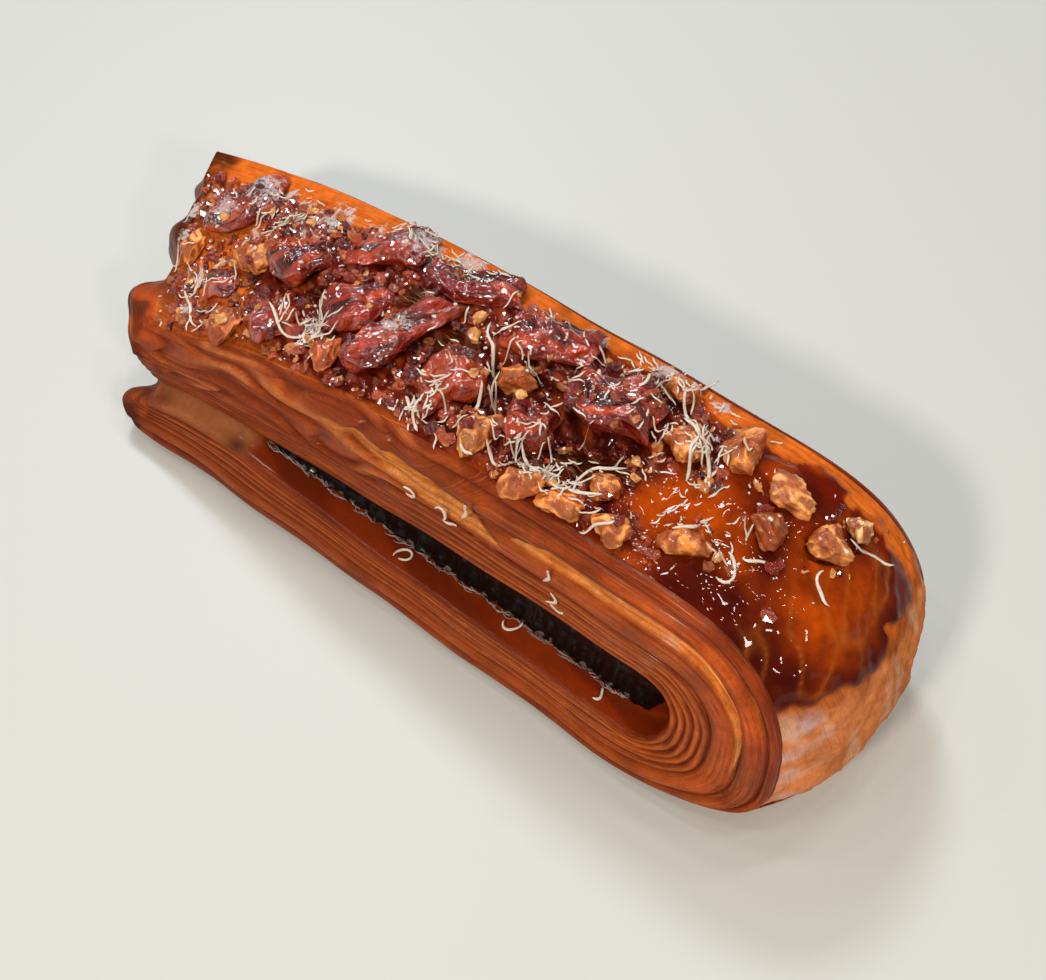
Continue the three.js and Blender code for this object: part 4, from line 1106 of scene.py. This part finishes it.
def makeBacon(index, row):
    # A slab with uneven corners, curled and wavy, with cut faces and a thinner rim.
    _, _, length, width, height, _, _ = row
    phase = 1.7 * index
    a, b, c, squares, _ = blockShell(*(np.linspace(-1, 1, steps) for steps in bacon["steps"]))
    skew = 0.09 * math.sin(3 * phase) * b + 0.06 * np.sin(2.4 * b + phase)
    taper = 1 + 0.16 * a * math.sin(phase + 1)
    plain = join(a * length / 2, b * width / 2, c * height / 2)
    rim = np.maximum(np.abs(a), np.abs(b)) ** 12
    thin = c * (1 - 0.3 * rim)
    ragged = 0.05 * softNoise(plain, 4.5, 100 + index)
    along = length * (0.5 * a * (1 - 0.05 * b * b - 0.08 * c * c) * (1 + ragged) + skew)
    across = width * (0.5 * b * taper * (1 - 0.08 * a * a - 0.08 * c * c) * (1 + ragged)
                      + 0.07 * np.sin(3 * a + 2 * phase))
    wave = np.sin(3.4 * a + phase) * 0.16 + np.sin(3.1 * b + 1.3 * phase) * 0.12
    up = height * (0.5 + 0.5 * thin * (1 - 0.14 * a * a - 0.16 * b * b) + (0.4 + 0.6 * c) * wave)
    strips = plain * [0.3, 1, 1]
    relief = 0.2 * softNoise(plain, 3.4, 180 + index) + 0.09 * softNoise(plain, 1.9, 220 + index)
    relief += 0.3 * (ridgeNoise(strips, 3.2, 200 + index) - 0.5)
    own = join(along, across, up + relief * smooth(-0.4, 0.6, c))
    own = cutFlat(own, np.array([0, 0, height / 2]), 240 + index, *bacon["cuts"])
    points = placePiece(row, own[:, 0], own[:, 1], own[:, 2])
    meat, fat, share = baconLooks[index]
    bands = np.sin(6.0 * b + 1.2 * c + 1.3 * softNoise(strips, 6.0, 260 + index) + phase)
    fatness = smooth(0.3, -0.1, bands * 0.6 + (0.5 - share) * 1.6)
    color = layTones(
        tint(0.6 * filled(meat, a), fat, fatness), bacon,
        dark=0.9 * patch(strips, 3.6, 300 + index, 0.1, 1.1), glow=0.85 * patch(strips, 4.0, 340 + index, 0.5, 1.2),
        pale=0.5 * patch(strips, 2.6, 350 + index, 0.9, 1.5),
        rim=0.4 * smooth(0.7, 1.0, np.maximum(np.abs(a), np.abs(b)))) * bacon["deep"]
    powder = spots(points[:, 0], points[:, 1], glaze["filmSpots"]) * smooth(0, 1, c)
    powder = bacon["powder"] + bacon["filmPowder"] * powder
    makePiece(f"baconPiece{index + 1}", points, squares, [baconMaterial],
              attributes={"sheet": plain * [1.0, 0.45, 0.45], "pieceColor": color, "powder": powder},
              replaces=f"bacon_{index + 1}")
    return points


def makeNut(index, row):
    # A lump of a few lobes with brain-like wrinkles whose valleys get painted shade; brown skin on part of it.
    _, _, length, width, height, _, _ = row
    phase = 2.3 * index
    along, around, squares, caps = ballGrid(*nut["steps"])
    turn = 2 * math.pi * around
    out = np.sin(math.pi * along) ** 0.8
    lobes = 1 + 0.14 * np.sin(3 * turn + phase) + 0.08 * np.sin(2 * turn - 5 * along + phase)
    up = 0.5 + 0.5 * np.cos(math.pi * along) * (1 + 0.14 * np.sin(2 * turn + phase))
    reach = out * lobes
    own = join(length / 2 * reach * np.cos(turn), width / 2 * reach * np.sin(turn), height * up)
    wrinkle = ridgeNoise(own, 3.4, 400 + index) - 0.5
    middle = np.array([0, 0, height / 2])
    shaped = middle + (own - middle) * (1.04 + 0.1 * softNoise(own, 5.0, 440 + index) + 0.15 * wrinkle)[:, None]
    shaped = cutFlat(shaped, middle, 460 + index, *nut["cuts"])
    shaped += (shaped - middle) * (0.03 * softNoise(own, 1.1, 480 + index))[:, None]
    points = placePiece(row, shaped[:, 0], shaped[:, 1], shaped[:, 2])
    meat, skinShare = nutLooks[index]
    skin = smooth(0.2, -0.2, softNoise(own, 4.2, 520 + index) * 0.5 + (0.5 - skinShare))
    # The wrinkle tone is painted shade in the valleys of the wrinkles.
    color = layTones(
        filled(meat, along), nut, skin=0.85 * skin, pale=0.5 * patch(own, 2.4, 540 + index, 0.3, 1.2) * (1 - skin),
        wrinkle=0.75 * smooth(0.0, -0.4, wrinkle),
        speck=0.5 * patch(own, 1.3, 560 + index, 0.6, 1.3)) * nut["deep"]
    makePiece(f"walnutPiece{index + 1}", points, squares, [nutMaterial], triangles=caps,
              attributes={"pieceColor": color}, replaces=f"walnut_{index + 1}")
    return points


toppingPoints = [makeBacon(index, row) for index, row in enumerate(baconPieces)]
toppingPoints += [makeNut(index, row) for index, row in enumerate(nutPieces)]
print("bacon and walnut pieces made")


# Loose bits on the top

ground = {"from": (-86.0, -26.0), "to": (70.0, 26.0), "cell": 0.4}


def makeGround():
    # Highest point of everything so far over a grid of cells in plan.
    cell = ground["cell"]
    nx = int((ground["to"][0] - ground["from"][0]) / cell)
    ny = int((ground["to"][1] - ground["from"][1]) / cell)
    x = ground["from"][0] + (np.arange(nx) + 0.5) * cell
    y = ground["from"][1] + (np.arange(ny) + 0.5) * cell
    gx, gy = np.meshgrid(x, y, indexing="ij")
    heights = surfaceHeight(gx.ravel(), gy.ravel()).reshape(gx.shape)
    tops = np.full(gx.shape, -1e3)
    for points in toppingPoints:
        i = ((points[:, 0] - ground["from"][0]) / cell).astype(int)
        j = ((points[:, 1] - ground["from"][1]) / cell).astype(int)
        np.maximum.at(tops, (i, j), points[:, 2])
    return np.maximum(heights, tops)


groundHeights = makeGround()


def groundAt(x, y, spread=0):
    # Height of the ground, or its highest value within a few cells.
    cell = ground["cell"]
    i = np.clip(((x - ground["from"][0]) / cell).astype(int), spread, groundHeights.shape[0] - 1 - spread)
    j = np.clip(((y - ground["from"][1]) / cell).astype(int), spread, groundHeights.shape[1] - 1 - spread)
    found = groundHeights[i, j]
    for di in range(-spread, spread + 1):
        for dj in range(-spread, spread + 1):
            found = np.maximum(found, groundHeights[i + di, j + dj])
    return found


# Shreds of cheese as x, y, length, turn and bend in degrees; areas of small bits as x, y, spreads and count,
# kept within the box of reach (x from, x to, y from, y to).
cheese = {
    "width": 0.56, "thickness": 0.24, "lift": 0.12, "bitWidth": 0.34, "bitThickness": 0.18, "bend": 34,
    "reach": (-80, 56, -13, 18),
    "seen": [
        (-9.7, 4.6, 9.5, -47, 30), (-9.0, 7.2, 5.0, 20, 50), (-13, -9.9, 7.9, -17, 90), (-14.6, -10.8, 5, 40, 120),
        (-11.4, -11.4, 5, -60, 90), (-4.4, -5.5, 5.4, 106, 30), (3.1, -11, 3.6, -20, 40), (9.9, -9, 6.9, 12, 30),
        (17.5, -4.9, 8.5, 54, -40), (14.8, 11.3, 7.9, 99, 30), (21.9, 10.7, 7.6, -49, 20), (28.7, 5.5, 9.2, -47, 20),
        (20.4, 17, 8.9, 86, 10), (33.2, -5.8, 5, 57, 60), (40.7, -6.5, 6.7, 87, 190), (43.2, -2.7, 5, 33, 40),
        (54.2, 10, 7.3, 31, 10), (51.7, 0.2, 5.7, -50, 110), (-42, -8.4, 9.1, -13, 60), (-36.6, -8.3, 6.1, -19, 140),
        (-0.2, -13.2, 2.4, 0, 30), (-65.4, -9.4, 9.9, -36, 30), (27, 4, 6, -70, 20), (25.4, 7.4, 6, -20, 20),
        (30.5, 3.8, 5, -85, 40), (18, -9.4, 6, 20, 40), (8.6, -9.6, 6, -30, 50), (22.6, -12.4, 5, 30, 50),
    ],
    "areas": [(12, -9, 9, 3, 80), (26, 6, 8, 5, 64), (18, 15, 9, 3, 50), (-38, -7, 6, 3, 44),
              (-12, -9, 6, 3, 40), (-30, 15, 12, 3, 54), (-60, 10, 10, 4, 50), (-66, -6, 7, 6, 34),
              (36, -4, 8, 5, 24), (0, 2, 26, 9, 60)],
    "shortest": 0.6, "longest": 3.4, "seed": 5,
}


def shredPoints(rows, width, thickness, steps=11, ring=6, ground=groundAt):
    # Bands with rounded ends laid over the ground along arcs in plan, lifted a little at their ends.
    x, y, length, turn, bend, lift = np.array(rows, float).T[:, :, None]
    k = np.linspace(-0.5, 0.5, steps)[None, :]
    start = np.radians(turn)
    curl = np.radians(bend)
    angle = start + curl * k + 0.3 * np.sin(2 * math.pi * k * 1.3 + 5 * start)
    stepX = np.cos(angle) * length / (steps - 1)
    stepY = np.sin(angle) * length / (steps - 1)
    px = np.cumsum(stepX, 1)
    py = np.cumsum(stepY, 1)
    px = x + px - px.mean(1, keepdims=True)
    py = y + py - py.mean(1, keepdims=True)
    base = ground(px, py, 1)
    for _ in range(3):
        wide = np.pad(base, ((0, 0), (1, 1)), mode="edge")
        base = np.maximum(base, (wide[:, :-2] + wide[:, 2:]) / 2)
    pz = base + lift + 0.25 * np.abs(2 * k) ** 2
    ringTurn = 2 * math.pi * np.arange(ring) / ring
    size = (np.maximum(0, 1 - np.abs(2 * k) ** 3)) ** 0.6 * 0.75 + 0.25 + 0.14 * np.sin(9 * k + 7 * start)
    side = width / 2 * np.cos(ringTurn)
    up = thickness / 2 * np.sin(ringTurn)
    outX = px[..., None] - np.sin(angle)[..., None] * side * size[..., None]
    outY = py[..., None] + np.cos(angle)[..., None] * side * size[..., None]
    outZ = pz[..., None] + thickness / 2 + up * size[..., None]
    return join(outX, outY, outZ)


def makeTubes(name, points, material):
    # One mesh from many tubes of the same count: points is tube, step, ring, coordinate.
    tubes, steps, ring, _ = points.shape
    squares, first, last = tubeGrid(steps, ring)
    offset = (np.arange(tubes) * steps * ring)[:, None, None]
    allSquares = (squares[None] + offset).reshape(-1, 4)
    ends = (np.stack([first, last])[None] + offset).reshape(-1, ring)
    makePiece(name, points.reshape(-1, 3), allSquares, [material], triangles=ends)


def makeCheese():
    # The long shreds one by one, then short bits strewn over the areas.
    rng = np.random.default_rng(cheese["seed"])
    rows = [(*row, cheese["lift"]) for row in cheese["seen"]]
    makeTubes("cheeseShreds", shredPoints(rows, cheese["width"], cheese["thickness"]), cheeseMaterial)
    small = []
    for x, y, spreadX, spreadY, count in cheese["areas"]:
        px = x + spreadX * rng.normal(size=count) * 0.6
        py = y + spreadY * rng.normal(size=count) * 0.6
        length = rng.uniform(cheese["shortest"], cheese["longest"], count)
        turn, bend = rng.uniform(0, 180, count), rng.normal(0, cheese["bend"], count)
        small += list(zip(px, py, length, turn, bend, rng.uniform(0, 0.3, count)))
    left, right, near, far = cheese["reach"]
    kept = [row for row in small if left < row[0] < right and near < row[1] < far]
    bits = shredPoints(kept, cheese["bitWidth"], cheese["bitThickness"], 8, 5)
    makeTubes("cheeseBits", bits, cheeseMaterial)


makeCheese()


# Threads along the filling's lower border, and pale rings before it as x, y, length, turn, bend and lift.
frays = {"count": 150, "from": -40, "to": 34, "width": 0.17, "thickness": 0.16, "ringWidth": 0.5,
         "ringThickness": 0.4, "seed": 13,
         "rings": [(-9.6, -19.2, 7, 150, 300, 0.05), (12.2, -18.6, 5, 20, 200, 0.05), (30, -19.4, 3, 80, 120, 0.05)]}


def slotFloorAt(x, y, spread=0):
    # Height of the floor of the slot, asked for in the same way as the ground.
    return curve(x, sheet["slotFloor"])


def makeFrays():
    # Pale broken threads along the lower border of the filling at both sides, and rings at the near side.
    rng = np.random.default_rng(frays["seed"])
    count = frays["count"]
    for name, side in (("near", -1), ("far", 1)):
        x = np.linspace(frays["from"], frays["to"], count) + rng.normal(0, 0.3, count)
        base = filling[name] + side * filling["skirt"]
        y = base + side * (0.2 + 0.3 * np.sin(0.9 * x) + 0.12 * rng.normal(size=count))
        rows = join(x, y, rng.uniform(0.5, 3.4, count), rng.normal(0, 12, count), rng.normal(0, 50, count),
                    rng.uniform(0, 0.2, count))
        points = shredPoints(rows, frays["width"], frays["thickness"], 7, 5, slotFloorAt)
        makeTubes("fillingFrays" + name.title(), points, frayMaterial)
    rings = shredPoints(frays["rings"], frays["ringWidth"], frays["ringThickness"], 16, 6, slotFloorAt)
    makeTubes("dripRings", rings, cheeseMaterial)


# Small curls that hang on the near cut side: x, z, length, turn and bend in degrees.
curls = {"y": -17.9, "width": 0.6, "thickness": 0.35,
         "rows": [(-7.6, 30.6, 4.4, 80, 260), (-1.2, 31, 4.2, 120, 200), (0.4, 29.6, 3.4, 20, 90),
                  (18.6, 33.0, 4, 78, 40), (19.6, 27.4, 4.6, 70, 120), (20.6, 25.4, 3.4, -10, 160),
                  (3.4, 35.6, 4.4, 80, 10)]}


def makeSideShreds():
    # The curls are made lying at height 0 and then turned up against the cut side.
    rows = [(x, 0, length, turn, bend, 0) for x, _, length, turn, bend in curls["rows"]]
    flat = shredPoints(rows, curls["width"], curls["thickness"], 12, 6, lambda x, y, spread: np.zeros_like(x))
    points = join(flat[..., 0], curls["y"] - flat[..., 2], flat[..., 1])
    points[..., 2] += np.array([row[1] for row in curls["rows"]])[:, None, None]
    makeTubes("sideShreds", points, cheeseMaterial)


makeFrays()
makeSideShreds()

# Crumbs of each kind: how many, smallest and largest size, the share that may lie on large pieces, and colours.
crumbKinds = {
    "nut": (820, 0.4, 1.7, 0.1, [(236, 170, 92), (206, 130, 60), (142, 76, 32)]),
    "bacon": (2300, 0.4, 1.9, 0.1, [(150, 34, 18), (206, 84, 36), (104, 18, 12), (184, 84, 54)]),
    "cheese": (700, 0.2, 0.6, 0.3, [(236, 222, 206)]),
}

# Where they lie: from and to along and across, the share moved on to the fold and how far, the bare glaze that they
# keep off, how many more round the walnut pieces and how far from them.
crumbs = {"x": (-84, 32), "y": (-12.5, 14), "near": -12.8, "onFold": 0.06, "foldX": 18, "bare": (23, 34, -8.5, 2),
          "spill": 200, "spread": 2.7, "powder": 0.12, "seed": 9}


def crumbPoints(x, y, size, rng, sink=0.3):
    # A ball of a few rows whose radius changes with the direction, stretched, turned and laid on the ground.
    along, around, squares, caps = ballGrid(5, 7)
    turn = 2 * math.pi * around
    out = np.sin(math.pi * along)
    direction = join(out * np.cos(turn), out * np.sin(turn), np.cos(math.pi * along))
    count = len(x)
    stretch = rng.uniform(0.55, 1.35, (count, 1, 3)) * [1, 1, 0.65]
    lumps = 1 + 0.26 * rng.normal(size=(count, len(along), 1)).clip(-1.5, 1.5)
    body = direction[None] * stretch * lumps * size[:, None, None]
    angle = rng.uniform(0, 2 * math.pi, count)[:, None]
    px = x[:, None] + body[..., 0] * np.cos(angle) - body[..., 1] * np.sin(angle)
    py = y[:, None] + body[..., 0] * np.sin(angle) + body[..., 1] * np.cos(angle)
    pz = groundAt(x, y)[:, None] + body[..., 2] + size[:, None] * (1 - 2 * sink) * 0.75
    points = join(px, py, pz).reshape(-1, 3)
    offset = (np.arange(count) * len(along))[:, None, None]
    return points, (squares[None] + offset).reshape(-1, 4), (caps[None] + offset).reshape(-1, 3), len(along)


def crumbPlaces(rng, count, onPieces):
    # Strewn over the top, fewer on the fold, and more round the walnut pieces; none in the pits or past the edges.
    left, right, front, back = crumbs["bare"]
    x = rng.uniform(*crumbs["x"], count) + (rng.uniform(0, 1, count) < crumbs["onFold"]) * crumbs["foldX"]
    y = rng.uniform(*crumbs["y"], count) * (1 - 0.3 * (x > 36))
    bare = (x > left) & (x < right) & (y > front) & (y < back)
    x = np.where(bare, x - rng.uniform(20, 60, count), x)
    beside = np.array(nutPieces)[rng.integers(0, len(nutPieces), crumbs["spill"])]
    x = np.concatenate([x, beside[:, 0] + rng.normal(0, crumbs["spread"], crumbs["spill"])])
    y = np.concatenate([y, beside[:, 1] + rng.normal(0, crumbs["spread"], crumbs["spill"])])
    kept = (groundAt(x, y, 1) < surfaceHeight(x, y) + 0.8) | (rng.uniform(0, 1, len(x)) < onPieces)
    kept = kept & (spots(x, y, glaze["holes"]) < 0.4) & (y > crumbs["near"]) & (x > endLine(y) + 3)
    return x[kept], y[kept]


def makeCrumbs():
    # One mesh for each kind, with a colour for each crumb and flat faces.
    rng = np.random.default_rng(crumbs["seed"])
    for name, material, slot in (("nut", nutMaterial, "walnut"), ("bacon", baconMaterial, "bacon"),
                                 ("cheese", cheeseMaterial, "cheese")):
        count, smallest, largest, onPieces, looks = crumbKinds[name]
        x, y = crumbPlaces(rng, count, onPieces)
        size = smallest + (largest - smallest) * rng.uniform(0, 1, len(x)) ** 2.2
        points, squares, caps, each = crumbPoints(x, y, size * 0.6, rng)
        chosen = linear(np.array(looks, float)[rng.integers(0, len(looks), len(x))])
        attributes = {"pieceColor": np.repeat(chosen, each, axis=0), "sheet": points,
                      "powder": np.full(len(points), crumbs["powder"])}
        made = makePiece(name + "Crumbs", points, squares, [material], triangles=caps, attributes=attributes)
        made.data.polygons.foreach_set("use_smooth", np.zeros(len(made.data.polygons), bool))


makeCrumbs()
print("loose bits made")


# Floor and light

floorLook = {"color": (204, 205, 198), "half": 3.0, "roughness": 0.5}


def makeFloor():
    # A large pale square at height 0.
    mesh = bpy.data.meshes.new("floor")
    half = floorLook["half"]
    mesh.from_pydata([(-half, -half, 0), (half, -half, 0), (half, half, 0), (-half, half, 0)], [], [(0, 1, 2, 3)])
    floor = bpy.data.objects.new("floor", mesh)
    bpy.context.scene.collection.objects.link(floor)
    material, _, _ = newMaterial("paleFloor", floorLook["color"], Roughness=floorLook["roughness"],
                                 Base_Color=linear(floorLook["color"]))
    mesh.materials.append(material)


# Area lights in metres: place, size, power and colour. A ring of small lamps overhead gives the glints.
warmWhite = (1.0, 0.95, 0.88)
lights = {"window": ((-0.6, 0.5, 1.0), (0.22, 0.18), 6.4, (0.74, 0.84, 1.0)),
          "front": ((0.0, -0.85, 0.8), (0.14, 0.1), 6.0, (1.0, 0.93, 0.84)),
          "side": ((0.75, -0.3, 0.62), (0.1, 0.1), 1.6, warmWhite)}
lampRing = {"count": 12, "reach": (0.28, 0.62, 0.45), "middle": (-0.1, 0.05, 1.15), "size": 0.055,
            "power": 0.5, "seed": 4}
sky = {"color": (1.0, 0.985, 0.96), "strength": 0.15}


def addLight(name, place, size, power, color):
    # An area light that points at the bar.
    data = bpy.data.lights.new(name, "AREA")
    data.shape = "RECTANGLE"
    data.size, data.size_y = size
    data.energy = power
    data.color = color
    light = bpy.data.objects.new(name, data)
    bpy.context.scene.collection.objects.link(light)
    light.location = place
    light.rotation_euler = (Vector((0, 0, 0.02)) - Vector(place)).to_track_quat("-Z", "Y").to_euler()


def makeLight():
    # A weak even sky, a cool window behind, a warm front light, the ring of lamps and a side light.
    world = bpy.data.worlds.new("world")
    bpy.context.scene.world = world
    world.use_nodes = True
    background = world.node_tree.nodes["Background"].inputs
    background["Color"].default_value = (*sky["color"], 1)
    background["Strength"].default_value = sky["strength"]
    addLight("window", *lights["window"])
    addLight("front", *lights["front"])
    rng = np.random.default_rng(lampRing["seed"])
    x, y, z = lampRing["middle"]
    for index in range(lampRing["count"]):
        turn = math.radians(360 / lampRing["count"] * index + rng.uniform(-9, 9))
        reach = lampRing["reach"][index % 3]
        place = (x + reach * math.cos(turn), y + reach * math.sin(turn), z - 0.3 * reach)
        addLight("lamp", place, (lampRing["size"], lampRing["size"]), lampRing["power"], warmWhite)
    addLight("side", *lights["side"])
    bpy.context.scene.view_settings.view_transform = "Standard"


makeFloor()
makeLight()
print("floor and light made")
